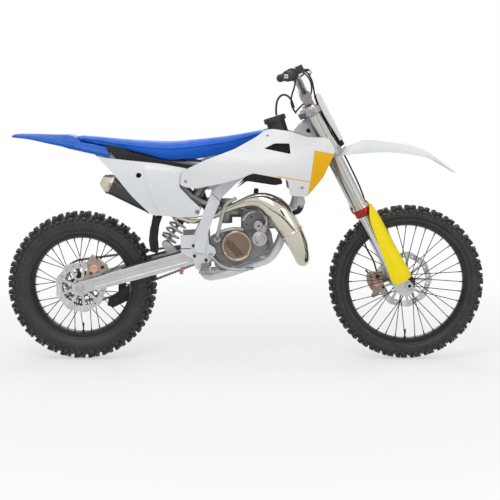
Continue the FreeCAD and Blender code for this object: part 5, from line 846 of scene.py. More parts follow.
bolt_set("side_cover_bolts", [bike(x, -93.4, z) for x, z in case_bolts], (0, -1, 0), 0.0044, 0.0034, "chassis")
bolt_set("case_bolts_left", [bike(x, 51.8, z) for x, z in case_bolts if x > 590 and z < 440], (0, 1, 0), 0.0044,
         0.0034, "chassis")
flywheel = bike(696, 0, 461)
turned("flywheel_cover", (flywheel.x, 0, flywheel.z),
       [(0.050, 0.0775), (0.0485, 0.0815), (0.040, 0.0835), (0.0385, 0.0825), (0.0370, 0.0825)], 64, "chassis",
       engine_black, 30)
bolt_set("flywheel_cover_bolts", round_pattern((flywheel.x, 0, flywheel.z), 0.0828, 0.0437, 5, 0.1), (0, 1, 0), 0.0036,
         0.0026, "chassis")

# The power-valve cover on the cylinder's side, its red screws, the head's spark plug and its cap.
valve = bike(701.4, 0, 541)
turned("valve_cover", (valve.x, 0, valve.z),
       [(0.0198, -0.0735), (0.0190, -0.0775), (0.0165, -0.0785), (0.0150, -0.0765), (0.0140, -0.0762)], 48, "chassis",
       cast_light, 30)
bolt_set("red_screws", [bike(701.4, -76.2, 541), bike(672, -52, 574), bike(655, -52, 545)], (0, -1, 0), 0.0042, 0.0032,
         "chassis", red_anodised)
plug = bike(688, 0, 630)
turned("spark_plug_cap", plug,
       [(0.0085, 0.0), (0.0085, 0.008), (0.0055, 0.010), (0.0055, 0.018), (0.0092, 0.020), (0.0098, 0.046),
        (0.0080, 0.052), (0.0055, 0.053)], 32, "chassis", black_rubber, 30, (0.1, 0, 1))


def between(a, b, c, d, t):
    """A value from b to c on a smooth curve through four evenly spaced values."""
    return 0.5 * (2 * b + (c - a) * t + (2 * a - 5 * b + 4 * c - d) * t ** 2 + (3 * b - a - 3 * c + d) * t ** 3)


def smooth_run(values, steps):
    """Values between stations on a smooth curve that passes through each of them."""
    result = []
    for index in range(len(values) - 1):
        first = values[max(index - 1, 0)]
        start = values[index]
        end = values[index + 1]
        last = values[min(index + 2, len(values) - 1)]
        for step in range(steps):
            result.append([between(a, b, c, d, step / steps) for a, b, c, d in zip(first, start, end, last)])
    result.append(list(values[-1]))
    return result


def swept(name, stations, sides, body, material, steps, smooth_angle=40):
    """A round piece swept through stations of x, y, z and radius, closed at both ends."""
    run = smooth_run(stations, steps) if steps > 1 else stations
    line = [Vector(station[:3]) for station in run]
    points = []
    direction = (line[1] - line[0]).normalized()
    left = direction.orthogonal().normalized()
    for index, centre in enumerate(line):
        before = line[max(index - 1, 0)]
        after = line[min(index + 1, len(line) - 1)]
        direction = (after - before).normalized()
        left = (left - direction * left.dot(direction)).normalized()
        up = direction.cross(left)
        points += circle(centre, left, up, run[index][3], sides)
    return piece_of(name, points, shell_faces(0, sides, len(line)), body, material, smooth_angle)


# The cylinder's cast coolant passages, the head stay and the coil with its lead.
for number, route in enumerate((
        ((716, -80, 512, 11), (728, -74, 533, 11), (736, -62, 556, 12), (728, -52, 582, 12), (706, -46, 602, 10)),
        ((736, -60, 548, 9), (752, -50, 545, 9), (768, -36, 543, 10), (778, -20, 542, 10)),
        ((640, -54, 560, 8), (652, -56, 580, 8), (668, -54, 592, 8), (690, -50, 596, 8)),
        ((548, -70, 512, 9), (575, -74, 522, 9), (606, -72, 527, 9), (640, -64, 524, 9)))):
    swept(f"coolant_casting_{number}", [(*bike(x, y, z), radius / 1000) for x, y, z, radius in route], 24, "chassis",
          cast_light, 6)

# Exhaust
# A nickel-plated expansion chamber of rolled and welded cones, and an aluminium silencer.
# It loops forward from the cylinder, swells beside the engine and narrows into the silencer's neck.
nickel = finish("nickel_plate", (0.64, 0.60, 0.52), (0.56, 0.515, 0.44), 0.12, 1.0, tone_scale=5, relief_scale=90,
                relief=0.04, relief_depth=0.0008, rough_spread=0.04)
pipe_shares = ((0.5942, 0.0, 0.630, 17), (0.6095, 0.0, 0.630, 17.5), (0.627, 0.003, 0.602, 18),
               (0.645, 0.009, 0.561, 19), (0.660, 0.013, 0.518, 20), (0.671, 0.012, 0.486, 21.5),
               (0.678, 0.002, 0.467, 23.5), (0.680, -0.019, 0.462, 26), (0.677, -0.045, 0.476, 29),
               (0.669, -0.067, 0.514, 34), (0.655, -0.081, 0.565, 40), (0.634, -0.087, 0.622, 45),
               (0.600, -0.087, 0.694, 49), (0.563, -0.082, 0.733, 39), (0.527, -0.077, 0.741, 27),
               (0.490, -0.071, 0.726, 18), (0.452, -0.066, 0.704, 13), (0.410, -0.062, 0.674, 12.6),
               (0.372, -0.062, 0.658, 12.6), (0.338, -0.068, 0.652, 12.6))


def shared(x, y, z):
    """A place given in shares: along and across in wheelbases, and up in heights of the saddle."""
    return bike(x * wheelbase, y * wheelbase, z * saddle_height)


pipe_line = [(*shared(x, y, z), radius / 1000) for x, y, z, radius in pipe_shares]
silencer_dive = math.radians(26.2)


def silencer_place(distance):
    """A place on the silencer's axis, in millimetres forward of its rear end."""
    return bike(96 + distance * math.cos(silencer_dive), -100, 722 - distance * math.sin(silencer_dive))


pipe_line += [(*silencer_place(286), 0.0128), (*silencer_place(279), 0.0128)]
chamber = swept("expansion_chamber", pipe_line, 48, "chassis", nickel, 6)
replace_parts(chamber, "exhaust_pipe")
flow = smooth_run(pipe_line, 6)


def weld_ring(name, index, growth, width):
    """A raised weld bead or clamp round the pipe at one of its stations."""
    centre = Vector(flow[index][:3])
    direction = (Vector(flow[index + 1][:3]) - Vector(flow[index - 1][:3])).normalized()
    radius = flow[index][3]
    profile = [(radius - 0.0004, -width / 2), (radius + growth * 0.7, -width / 3), (radius + growth, 0.0),
               (radius + growth * 0.7, width / 3), (radius - 0.0004, width / 2)]
    turned(name, centre, profile, 48, "chassis", nickel, 60, direction)


for number, station in enumerate((48, 72, 80, 86)):
    weld_ring(f"pipe_weld_{number}", station, 0.0006, 0.0030)
weld_ring("pipe_joint", 64, 0.0036, 0.0100)
weld_ring("pipe_flange", 7, 0.0040, 0.0080)

# The silencer: a dark brushed can with a champagne end cap, an outlet and two riveted bands.
can_dark = finish("silencer_sleeve", (0.050, 0.049, 0.048), (0.075, 0.074, 0.072), 0.42, 0.7, tone_scale=9,
                  relief_scale=900, relief=0.2, stretch=(0.15, 1, 0.15))
cap_champagne = finish("end_cap", (0.60, 0.55, 0.46), (0.50, 0.45, 0.37), 0.30, 1.0, tone_scale=22, relief=0.08)
softened("silencer", can_dark, 0.0008)
forward = (silencer_place(100) - silencer_place(0)).normalized()
outlet = silencer_place(0)
turned("silencer_cap", outlet,
       [(0.0235, -0.0012), (0.0245, 0.0), (0.0402, 0.0300), (0.0404, 0.0392), (0.0396, 0.0402)], 12, "chassis",
       cap_champagne, 20, forward)
turned("silencer_outlet", outlet,
       [(0.0150, 0.0240), (0.0150, -0.0040), (0.0165, -0.0046), (0.0172, -0.0040), (0.0172, 0.0100)], 40, "chassis",
       bevel_bright, 40, forward)
for number, distance in enumerate((42, 208)):
    turned(f"silencer_band_{number}", silencer_place(distance),
           [(0.0378, 0.0), (0.0388, 0.0005), (0.0388, 0.0080), (0.0378, 0.0086)], 48, "chassis", can_dark,
           50, forward)
rivets = []
side = forward.orthogonal().normalized()
rise = forward.cross(side)
for distance in (46, 212):
    for index in range(12):
        turn = 2 * math.pi * (index + 0.5) / 12
        out = side * math.cos(turn) + rise * math.sin(turn)
        foot = silencer_place(distance) + out * 0.0384
        rivets.append((foot, foot + out * 0.0012, 0.0020))
bars("silencer_rivets", rivets, "chassis", bolt_steel)

# Shock absorber
# A coil-over damper between swingarm and frame: steel rod, grey alloy body with a piggyback reservoir.
# The spring is wound from round wire, powder-coated cream white, ground flat at both ends.
damper_steel = finish("damper_body", (0.30, 0.30, 0.31), (0.22, 0.22, 0.225), 0.34, 0.85, tone_scale=30, relief=0.12)
spring_cream = finish("spring_coating", (0.80, 0.79, 0.74), (0.72, 0.71, 0.66), 0.32, tone_scale=40, relief=0.06,
                      coat=0.4)
softened("shock_absorber", damper_steel, 0.0010)
shock_foot = shared(0.258, 0, 0.532)
shock_head = shared(0.372, 0, 0.80)
shock_run = shock_head - shock_foot
shock_axis = shock_run.normalized()
shock_left = Vector((0, 1, 0))
shock_up = shock_axis.cross(shock_left)
spring_start = shock_foot + shock_run * 0.08 + shock_axis * 0.0113
spring_length = (shock_foot + shock_run * 0.72 - shock_axis * 0.0053 - spring_start).length
coil_radius = 0.030
turn_steps = 40
coil_steps = 6.5 * turn_steps
coil = []
for step in range(int(coil_steps) + 1):
    turn = 2 * math.pi * step / turn_steps
    share = step / coil_steps
    open_share = min(share / 0.07, (1 - share) / 0.07, 1.0)
    flat_end = 0.012 * open_share if share < 0.5 else 1 - 0.012 * open_share
    rise = spring_length * (flat_end + (share - flat_end) * open_share)
    out = shock_left * math.sin(turn) + shock_up * math.cos(turn)
    coil.append((*(spring_start + shock_axis * rise + out * coil_radius), 0.0049))
spring = swept("damper_spring", coil, 16, "chassis", spring_cream, 1, 60)
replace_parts(spring, "shock_spring")
turned("bump_rubber", shock_foot + shock_run * 0.335,
       [(0.0075, 0.0), (0.0150, 0.004), (0.0175, 0.010), (0.0150, 0.016), (0.0180, 0.022), (0.0160, 0.028)], 32,
       "chassis", black_rubber, 50, shock_axis)
turned("reservoir_cap", shock_foot + shock_run * 0.72 + Vector((0, -0.041, 0)) + shock_axis * 0.0915,
       [(0.0190, 0.0), (0.0190, 0.0022), (0.0160, 0.0040), (0.0075, 0.0042), (0.0070, 0.0030), (0.0060, 0.0030)], 40,
       "chassis", hub_black, 30, shock_axis)

# Side panels and shrouds
# Injection-moulded nylon panels three millimetres thick, bowed outwards and screwed on.
# The shroud has a vent backed by a near-black sheet of painted shade, a printed amber wedge at its front and a thin
# amber line under its middle.


def rounded(outline, radius, steps=5):
    """An outline with its corners rounded."""
    result = []
    count = len(outline)
    for index in range(count):
        before = Vector((*outline[index - 1], 0))
        corner = Vector((*outline[index], 0))
        after = Vector((*outline[(index + 1) % count], 0))
        start = corner + (before - corner).normalized() * min(radius, (before - corner).length * 0.45)
        end = corner + (after - corner).normalized() * min(radius, (after - corner).length * 0.45)
        for step in range(steps + 1):
            t = step / steps
            place = start * (1 - t) ** 2 + corner * (2 * t * (1 - t)) + end * t ** 2
            result.append((place.x, place.y))
    return result


def along_curve(values, share):
    """A value at a share of the way along evenly spaced values, on a smooth curve."""
    spot = min(max(share, 0.0), 0.9999) * (len(values) - 1)
    index = int(spot)
    last = values[min(index + 2, len(values) - 1)]
    return between(values[max(index - 1, 0)], values[index], values[index + 1], last, spot - index)


def bowed(x, z, left, low, length, height, columns):
    """How far a bowed wall stands out from the middle of the bike at a place in millimetres."""
    starts = [start for start, rows in columns]
    share = (x - left) / length
    spot = 0.0
    for index, (start, following) in enumerate(zip(starts, starts[1:])):
        if share >= start:
            spot = index + min((share - start) / (following - start), 1.0)
    rows = [along_curve(values, spot / (len(starts) - 1)) for values in zip(*(rows for start, rows in columns))]
    return length * along_curve(rows, ((z - low) / height + 0.05) / 1.1)


def ridge(x, z, line, width):
    """One on one side of a fold line and nothing on the other, with a narrow ramp between them."""
    (x0, z0), (x1, z1) = line
    run = math.hypot(x1 - x0, z1 - z0)
    distance = ((x - x0) * (z1 - z0) - (z - z0) * (x1 - x0)) / run
    share = min(max(distance / width + 0.5, 0.0), 1.0)
    return share * share * (3 - 2 * share)


def moulded_wall(piece, thickness, offset, rim=0.0008):
    """Gives an open sheet the wall of a moulding, with its rim rounded."""
    solid = piece.modifiers.new("wall", "SOLIDIFY")
    solid.thickness = thickness
    solid.offset = offset
    edge = piece.modifiers.new("soft_rim", "BEVEL")
    edge.width = rim
    edge.segments = 2
    edge.limit_method = "ANGLE"
    edge.angle_limit = math.radians(60)
    edge.harden_normals = True


def trimmed_panel(name, outline, depth, side, material, holes=(), spacing=9.0, wall=0.0032,
                  body="chassis"):
    """A moulded panel: a bowed wall trimmed to its outline, with its holes, made solid with soft edges."""
    mesh = bmesh.new()
    corners = [mesh.verts.new((x, 0.0, z)) for x, z in outline]
    mesh.faces.new(corners)
    cuts = []
    for normal, ways in (((1, 0, 0), [x for x, z in outline]), ((0, 0, 1), [z for x, z in outline])):
        for step in range(1, int((max(ways) - min(ways)) / spacing) + 1):
            cuts.append((Vector(normal) * (min(ways) + spacing * step), normal))
    hole_sides = [list(zip(hole, hole[1:] + hole[:1])) for hole in holes]
    for corner_pairs in hole_sides:
        for (x0, z0), (x1, z1) in corner_pairs:
            if math.hypot(x1 - x0, z1 - z0) > 0.01:
                cuts.append(((x0, 0, z0), (z1 - z0, 0, x0 - x1)))
    for place, normal in cuts:
        bmesh.ops.bisect_plane(mesh, geom=mesh.verts[:] + mesh.edges[:] + mesh.faces[:], plane_co=place,
                               plane_no=normal, dist=0.0005)
    for corner_pairs in hole_sides:
        inside = []
        for tile in mesh.faces:
            middle = tile.calc_center_median()
            signs = [(middle.x - x0) * (z1 - z0) - (middle.z - z0) * (x1 - x0) for (x0, z0), (x1, z1) in corner_pairs]
            if min(signs) > -0.01 or max(signs) < 0.01:
                inside.append(tile)
        bmesh.ops.delete(mesh, geom=inside, context="FACES")
    bmesh.ops.dissolve_degenerate(mesh, dist=0.05, edges=mesh.edges[:])
    bmesh.ops.triangulate(mesh, faces=[tile for tile in mesh.faces if len(tile.verts) > 4])
    for vert in mesh.verts:
        vert.co = bike(vert.co.x, side * depth(vert.co.x, vert.co.z), vert.co.z)
    bmesh.ops.recalc_face_normals(mesh, faces=mesh.faces[:])
    facing = sum(tile.normal.y * tile.calc_area() for tile in mesh.faces)
    if facing * side < 0:
        bmesh.ops.reverse_faces(mesh, faces=mesh.faces[:])
    result = bpy.data.meshes.new(name)
    mesh.to_mesh(result)
    mesh.free()
    piece = new_piece(name, result, body, material, 50)
    moulded_wall(piece, wall, -1)
    return piece


plastic_white = finish("white_nylon", (0.79, 0.805, 0.81), (0.755, 0.77, 0.775), 0.34, tone_scale=5, relief_scale=800,
                       relief=0.04, shine=0.35)
plastic_black = finish("black_nylon", (0.016, 0.016, 0.017), (0.028, 0.028, 0.029), 0.48, tone_scale=14,
                       relief_scale=900, relief=0.22, shine=0.3)
side_columns = [(-0.05, (0.30, 0.31, 0.30, 0.27)), (0.35, (0.335, 0.37, 0.365, 0.32)),
                (0.70, (0.33, 0.37, 0.37, 0.33)), (1.05, (0.30, 0.33, 0.33, 0.30))]
side_outline = rounded([(75, 812), (140, 806), (320, 789), (427, 769), (402, 752), (394, 701), (430, 660), (478, 614),
                        (468, 581), (416, 580), (347, 585), (285, 590), (209, 666), (140, 749)], 9)


def side_depth(x, z):
    """The side panel's bow, with the fold that runs down behind its hole."""
    reach = bowed(x, z, 75, 578, 405, 238, side_columns)
    fold_x = 250 + 62 * (max(0.0, 790 - z) / 200) ** 1.8
    share = min(max((x - fold_x) / 14, 0.0), 1.0)
    top_share = min(max((786 - z - (x - 250) * 0.10) / 16, 0.0), 1.0)
    return reach - 5.0 * (1 - share * share * (3 - 2 * share) * top_share)


def oval(x, z, half_length, half_height):
    """The outline of a round or oval hole in the side view."""
    turns = [math.pi * step / 8 for step in range(16)]
    return [(x + half_length * math.cos(turn), z + half_height * math.sin(turn)) for turn in turns]


for side, hand in both_sides:
    panel = trimmed_panel(f"side_panel_{hand}", side_outline, side_depth, side, plastic_white,
                          [oval(239, 743, 9, 9)])
    if side < 0:
        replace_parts(panel, "side_panels")
    reach = side_depth(463, 602)
    turned(f"side_panel_screw_{hand}", bike(463, side * (reach - 0.6), 602),
           [(0.0090, 0.0), (0.0090, 0.0016), (0.0078, 0.0024), (0.0040, 0.0024), (0.0036, 0.0008), (0.0030, 0.0008)],
           32, "chassis", damper_steel, 30, (0, side, 0))
    foot = bike(239, side * 100, 743)
    turned(f"side_panel_boss_{hand}", foot,
           [(0.0105, 0.0), (0.0105, 0.0450), (0.0085, 0.0452), (0.0080, 0.0300), (0.0070, 0.0300)], 32, "chassis",
           plastic_black, 30, (0, side, 0))
shroud_plastic = finish("shroud_nylon", (0.79, 0.80, 0.805), (0.76, 0.77, 0.775), 0.32, tone_scale=5, relief_scale=800,
                        relief=0.04, shine=0.35)
wedge = [(913, 841), (1010, 824), (1010, 640), (885, 640)]
underline = [(772, 744.5), (903, 722.5), (903, 718.0), (772, 740.0)]
printed(shroud_plastic, [wedge, underline], (0.86, 0.45, 0.0), (0.83, 0.43, 0.0))
shroud_columns = [(-0.04, (0.245, 0.255, 0.255, 0.21, 0.16)), (0.22, (0.25, 0.27, 0.26, 0.21, 0.15)),
                  (0.50, (0.26, 0.295, 0.285, 0.22, 0.145)), (0.78, (0.28, 0.315, 0.305, 0.25, 0.175)),
                  (1.04, (0.265, 0.29, 0.29, 0.265, 0.22))]
shroud_outline = rounded([(404, 754), (428, 771), (486, 799), (610, 846), (692, 891), (726, 917), (754, 921),
                          (822, 912), (884, 891), (967, 888), (994, 842), (984, 816), (946, 737), (884, 662),
                          (819, 668), (812, 730), (678, 754), (630, 733), (555, 713), (459, 693), (417, 699),
                          (397, 709)], 12)
vent = rounded([(720, 847), (761, 867), (819, 867), (822, 827)], 6, 3)
vent_shade_outline = rounded([(708, 840), (756, 876), (830, 876), (832, 818)], 6, 3)
# The vent's darkness is painted shade: a near-black sheet with almost no sheen, set just behind each vent.
vent_shade_black = finish("vent_painted_shade", (0.007, 0.007, 0.007), (0.012, 0.012, 0.012), 0.62, tone_scale=30, shine=0.08)


def shroud_depth(x, z):
    """The shroud's bow, with a fold above the vent and a rolled front edge."""
    return bowed(x, z, 397, 662, 597, 260, shroud_columns) - 3.0 * ridge(x, z, ((620, 838), (930, 866)), -10)


for side, hand in both_sides:
    shroud = trimmed_panel(f"shroud_{hand}", shroud_outline, shroud_depth, side, shroud_plastic,
                           [vent])
    if side < 0:
        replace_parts(shroud, "radiator_shrouds")
    # Painted shade: the near-black sheet behind each vent.
    trimmed_panel(f"shroud_vent_shade_{hand}", vent_shade_outline, lambda x, z: shroud_depth(x, z) - 4.5, side, vent_shade_black)
    for x, z in ((420, 722), (866, 700), (735, 895)):
        bolt_set(f"shroud_bolt_{hand}_{x}", [bike(x, side * (shroud_depth(x, z) - 0.4), z)], (0, side, 0), 0.0058,
                 0.0026, "chassis")

# Rear fender and front fender
# One-piece moulded fenders, thin and springy, with rounded backs and pressed fold lines.
# The rear one is blue with a folded flank, and the front one white with a long fold on each side.


def sheet_faces(rows, columns):
    """Faces of an open sheet, row by row."""
    corners = [row * columns + column for row in range(rows - 1) for column in range(columns - 1)]
    return [(corner, corner + 1, corner + columns + 1, corner + columns) for corner in corners]


def arched(name, stations, place, body, material, profile, lip):
    """A fender through stations of x, half width, top and drop, its section folded along given shares."""
    run = smooth_run(stations, 8)
    points = []
    steps = 14
    count = 2 * steps + 1
    for x, half, top, drop in run:
        for step in range(count):
            across = (step - steps) / steps
            u = abs(across)
            fall = 1.0
            for (u0, fall0), (u1, fall1) in zip(profile, profile[1:]):
                if u0 <= u <= u1:
                    fall = fall0 + (fall1 - fall0) * (u - u0) / (u1 - u0)
            fall += 0.05 * math.cos(u * math.pi / profile[1][0] / 2) if u < profile[1][0] else 0.0
            reach = across * half * (lip if u == 1.0 else 1.0)
            points.append(tuple(place(x, reach, top - drop * (fall - 0.05))))
    faces = sheet_faces(len(run), count)
    piece = piece_of(name, points, faces, body, material, 24)
    moulded_wall(piece, 0.0032, 1 if piece.data.polygons[0].normal.z < 0 else -1)
    return piece


fender_blue = finish("fender_blue", (0.004, 0.110, 0.52), (0.004, 0.098, 0.48), 0.34, tone_scale=5, relief_scale=800,
                     relief=0.04, shine=0.3)
rear_length = 364
rear_shares = ((0.0, 0.105, -0.010, 0.012), (0.03, 0.15, 0.004, 0.026), (0.20, 0.196, 0.006, 0.048),
               (0.445, 0.25, 0.003, 0.099), (0.655, 0.264, -0.004, 0.139), (0.70, 0.255, -0.088, 0.066),
               (0.85, 0.252, -0.122, 0.065), (1.0, 0.250, -0.145, 0.075))
rear_stations = [(-264 + share * rear_length, half * rear_length, 894 + lift * rear_length, drop * rear_length)
                 for share, half, lift, drop in rear_shares]
rear_fender = arched("rear_fender_shell", rear_stations, bike, "chassis", fender_blue,
                     ((0.0, 0.05), (0.5, 0.13), (11 / 14, 0.44), (1.0, 1.0)), 0.91)
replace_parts(rear_fender, "rear_fender")
flank_outline = rounded([(-60, 893), (-8, 884), (10, 869), (60, 860), (106, 849), (124, 808), (60, 822), (-34, 843),
                         (-62, 852)], 3)


def flank_depth(x, z):
    """The fender's flank beside the seat's tail: a fold along its middle and a lip turned in at its edge."""
    above_edge = z - 843 + (x + 34) * 0.222
    fold = min(above_edge, 32.0)
    return 97.0 - 0.62 * fold - 1.05 * max(above_edge - fold, 0.0) - 0.9 * max(9.0 - above_edge, 0.0)


for side, hand in both_sides:
    trimmed_panel(f"fender_flank_{hand}", flank_outline, flank_depth, side, fender_blue, wall=0.0030)
rake = math.radians(27)


def fork_side(along, up):
    """A place in the side view, in millimetres, given along and up in the tilted frame of the fork."""
    return (1240.1 + along * math.cos(rake) - up * math.sin(rake),
            283.6 + along * math.sin(rake) + up * math.cos(rake))


def fork(x, y, z):
    """A place given in millimetres in the tilted frame of the fork, moved into the frame of the CAD model."""
    along, up = fork_side(x, z)
    return bike(along, y, up)


front_stations = [(-20, 50, 583.7, 6), (20, 56, 583.7, 6), (48, 59, 584.5, 12), (95, 65, 600, 46), (149, 66, 600, 70),
                  (189, 65, 580, 68), (225, 63, 555, 60), (301, 62, 498, 52), (360, 56, 432, 36), (400, 40, 356, 18),
                  (421, 27, 311, 5)]
front_fender = arched("front_fender_shell", front_stations, fork, "steering", plastic_white,
                      ((0.0, 0.05), (9 / 14, 0.22), (12 / 14, 0.62), (1.0, 1.0)), 0.97)
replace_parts(front_fender, "front_fender")
bolt_set("fender_bolts", [fork(x, y, 579.6) for x, y in ((-4, 22), (-4, -22), (30, 22), (30, -22))],
         fork(0, 0, -1) - fork(0, 0, 0), 0.006, 0.003, "steering")

# Seat
# A firm foam seat in a tight blue cover, sewn along the edge of its top.
# The foam is swelled a little by a cloth simulation, and the seam's piping is laid on it afterwards.
seat_stations = ((0.0, 0.072, 0.149, 0.128, 0.138), (0.10, 0.088, 0.142, 0.1072, 0.121),
                 (0.197, 0.100, 0.133, 0.088, 0.102), (0.28, 0.117, 0.126, 0.0745, 0.09),
                 (0.38, 0.132, 0.1195, 0.05075, 0.075), (0.48, 0.138, 0.117, 0.027, 0.066),
                 (0.555, 0.134, 0.120, 0.029, 0.070), (0.63, 0.123, 0.127, 0.031, 0.078),
                 (0.715, 0.106, 0.1355, 0.047, 0.090), (0.80, 0.089, 0.146, 0.063, 0.105),
                 (0.90, 0.075, 0.1625, 0.110, 0.136), (1.0, 0.064, 0.182, 0.158, 0.170))
seat_length = 736
seat_rear = -8
seat_datum = 780
seat_sections = [(seat_rear + share * seat_length, half * seat_length,
                  *(seat_datum + rise * seat_length for rise in heights)) for share, half, *heights in seat_stations]
seat_run = smooth_run(seat_sections, 8)


def seat_ring(half, top, base, edge):
    """The seat's section: a flat base, bulging sides and a softly crowned top."""
    floor = [(half * 0.90 * (1 - 2 * step / 5), base) for step in range(6)]
    crown = top - edge
    left = [(-half * 0.97, base + (edge - base) * 0.45), (-half * 1.0, edge), (-half * 0.965, edge + crown * 0.42),
            (-half * 0.83, edge + crown * 0.78), (-half * 0.62, edge + crown * 0.95), (-half * 0.34, top + 0.6)]
    return floor + left + [(0.0, top + 1.6)] + [(-y, z) for y, z in reversed(left)]


rings = [[bike(x, y, z) for y, z in seat_ring(*section)] for x, *section in seat_run]
points = [point for ring in rings for point in ring]
faces = shell_faces(0, len(rings[0]), len(rings))
cover_cloth = finish("seat_cover", (0.005, 0.125, 0.62), (0.004, 0.105, 0.54), 0.50, tone_scale=14, relief_scale=1500,
                     relief=0.35, relief_depth=0.0005, shine=0.3)
seat = piece_of("foam_seat", points, faces, "chassis", cover_cloth, 40)
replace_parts(seat, "seat")
remesh = seat.modifiers.new("even_skin", "REMESH")
remesh.mode = "VOXEL"
remesh.voxel_size = 0.006
seat_view = bpy.context.evaluated_depsgraph_get()
seat.data = bpy.data.meshes.new_from_object(seat.evaluated_get(seat_view))
seat.modifiers.clear()
rest_places = [vert.co.copy() for vert in seat.data.vertices]
held = seat.vertex_groups.new(name="held")
for vert in seat.data.vertices:
    held.add([vert.index], 1.0 if vert.normal.z < -0.6 else 0.0, "REPLACE")
cloth = seat.modifiers.new("swelling", "CLOTH")
cloth.settings.quality = 5
cloth.settings.mass = 0.3
cloth.settings.tension_stiffness = 30
cloth.settings.compression_stiffness = 30
cloth.settings.bending_stiffness = 8
cloth.settings.use_pressure = True
cloth.settings.uniform_pressure_force = 4
cloth.settings.vertex_group_mass = "held"
cloth.settings.effector_weights.gravity = 0
cloth.collision_settings.use_collision = False
cloth.point_cache.frame_start = 1
cloth.point_cache.frame_end = 20
for step in range(1, 21):
    scene.frame_set(step)
seat_view = bpy.context.evaluated_depsgraph_get()
swelled = bpy.data.meshes.new_from_object(seat.evaluated_get(seat_view))
seat.modifiers.clear()
limit = 0.0025
for vert, before in zip(swelled.vertices, rest_places):
    travel = vert.co - before
    if travel.length > limit:
        vert.co = before + travel * (limit / travel.length)
seat.data = swelled
scene.frame_set(1)
swelled.shade_smooth()
finer = seat.modifiers.new("smooth_cover", "SUBSURF")
finer.levels = 1
finer.render_levels = 1
for side, hand in both_sides:
    seam = [(*bike(x, side * (half * 0.972 + 0.4), edge + (top - edge) * 0.42 + 0.6), 0.0016)
            for x, half, top, base, edge in seat_run[3:-3]]
    swept(f"seat_seam_{hand}", seam, 8, "chassis", cover_cloth, 1, 60)

# Tank, radiators and airbox
# A blow-moulded black tank with its screw cap, two radiators, and a black airbox with a mud flap.
# Black covers and ribbed grilles close the gaps round them, and alloy gussets brace the frame's head.
tank_black = finish("tank_polyethylene", (0.030, 0.031, 0.033), (0.046, 0.047, 0.049), 0.48, tone_scale=12,
                    relief_scale=700, relief=0.25)
softened("fuel_tank", tank_black, 0.0030, segments=3)
softened("airbox", plastic_black, 0.0030, segments=3)
softened("radiators",
         finish("radiator_fins", (0.55, 0.55, 0.55), (0.46, 0.46, 0.46), 0.40, 0.85, tone_scale=40, relief_scale=900,
                relief=0.3), 0.0006)


def grille_depth(x, z):
    """How far the intake grille stands out from the middle of the bike, in millimetres."""
    return 88 + 14 * math.sin((x - 117) / 325 * 3.0)


cover_outline = rounded([(617, 690), (660, 735), (678, 748), (790, 724), (795, 706), (765, 700), (656, 717)], 6)
for side, hand in both_sides:
    trimmed_panel(f"wiring_cover_{hand}", cover_outline, lambda x, z: 72 + (z - 700) * 0.25, side, plastic_black,
                  spacing=12.0, wall=0.0040)
    strip = rounded([(102, 862), (160, 850), (200, 832), (318, 798), (446, 780), (440, 762), (318, 774), (200, 786),
                     (150, 800)], 4)
    trimmed_panel(f"intake_grille_{hand}", strip, grille_depth, side, plastic_black, spacing=12.0,
                  wall=0.0030)
    ribs = []
    for index in range(9):
        x = 170 + index * 16
        z = 818 - index * 3.9
        y = side * (grille_depth(x, z) + 0.6)
        ribs.append((bike(x - 10, y, z - 20), bike(x, y, z), 0.0026, 10))
    bars(f"grille_ribs_{hand}", ribs, "chassis", tank_black)
    flap = rounded([(290, 570), (318, 570), (304, 530), (298, 480), (302, 430), (275, 434), (268, 482), (274, 530)], 8)
    trimmed_panel(f"mud_flap_side_{hand}", flap, lambda x, z: 46, side, plastic_black, spacing=12.0,
                  wall=0.0030)
    gusset = rounded([(865, 940), (888, 947), (947, 888), (864, 884), (836, 904)], 8)
    trimmed_panel(f"head_gusset_{hand}", gusset, lambda x, z: 27, side, arm_alloy,
                  [oval(899, 912, 12, 9)], 12.0, 0.0040)
turned("gusset_plug", bike(899, 0, 912), [(0.0105, -0.0235), (0.0118, -0.0225), (0.0118, 0.0225), (0.0105, 0.0235)],
       32, "chassis", plastic_black, 40)

# Fork, clamps and guards
# An upside-down fork: warm silver anodised upper tubes in grey clamps, chromed legs and cast silver feet.
# A red wiper ring closes each tube, and yellow plastic guards cover the legs from the front and the side.
fork_silver = finish("fork_anodise", (0.55, 0.53, 0.50), (0.47, 0.455, 0.43), 0.24, 0.9, tone_scale=7,
                     relief_scale=400, relief=0.02)
leg_chrome = finish("leg_chrome", (0.66, 0.65, 0.63), (0.58, 0.57, 0.55), 0.26, 0.9, tone_scale=12, relief=0.05)
clamp_grey = finish("clamp_alloy", (0.40, 0.40, 0.40), (0.30, 0.30, 0.305), 0.38, 0.85, tone_scale=22,
                    relief_scale=1000, relief=0.18)
guard_yellow = finish("guard_yellow", (0.98, 0.79, 0.0), (0.95, 0.74, 0.0), 0.40, tone_scale=5, relief_scale=700,
                      relief=0.06, shine=0.3)
softened("fork_outer_tubes", fork_silver, 0.0008)
softened("fork_inner_legs", leg_chrome, 0.0018, segments=3)
softened("fork_clamps", clamp_grey, 0.0020, segments=3)
fork_up = (fork(0, 0, 1) - fork(0, 0, 0)).normalized()
fork_ahead = (fork(1, 0, 0) - fork(0, 0, 0)).normalized()
leg_x = 23
leg_y = 92
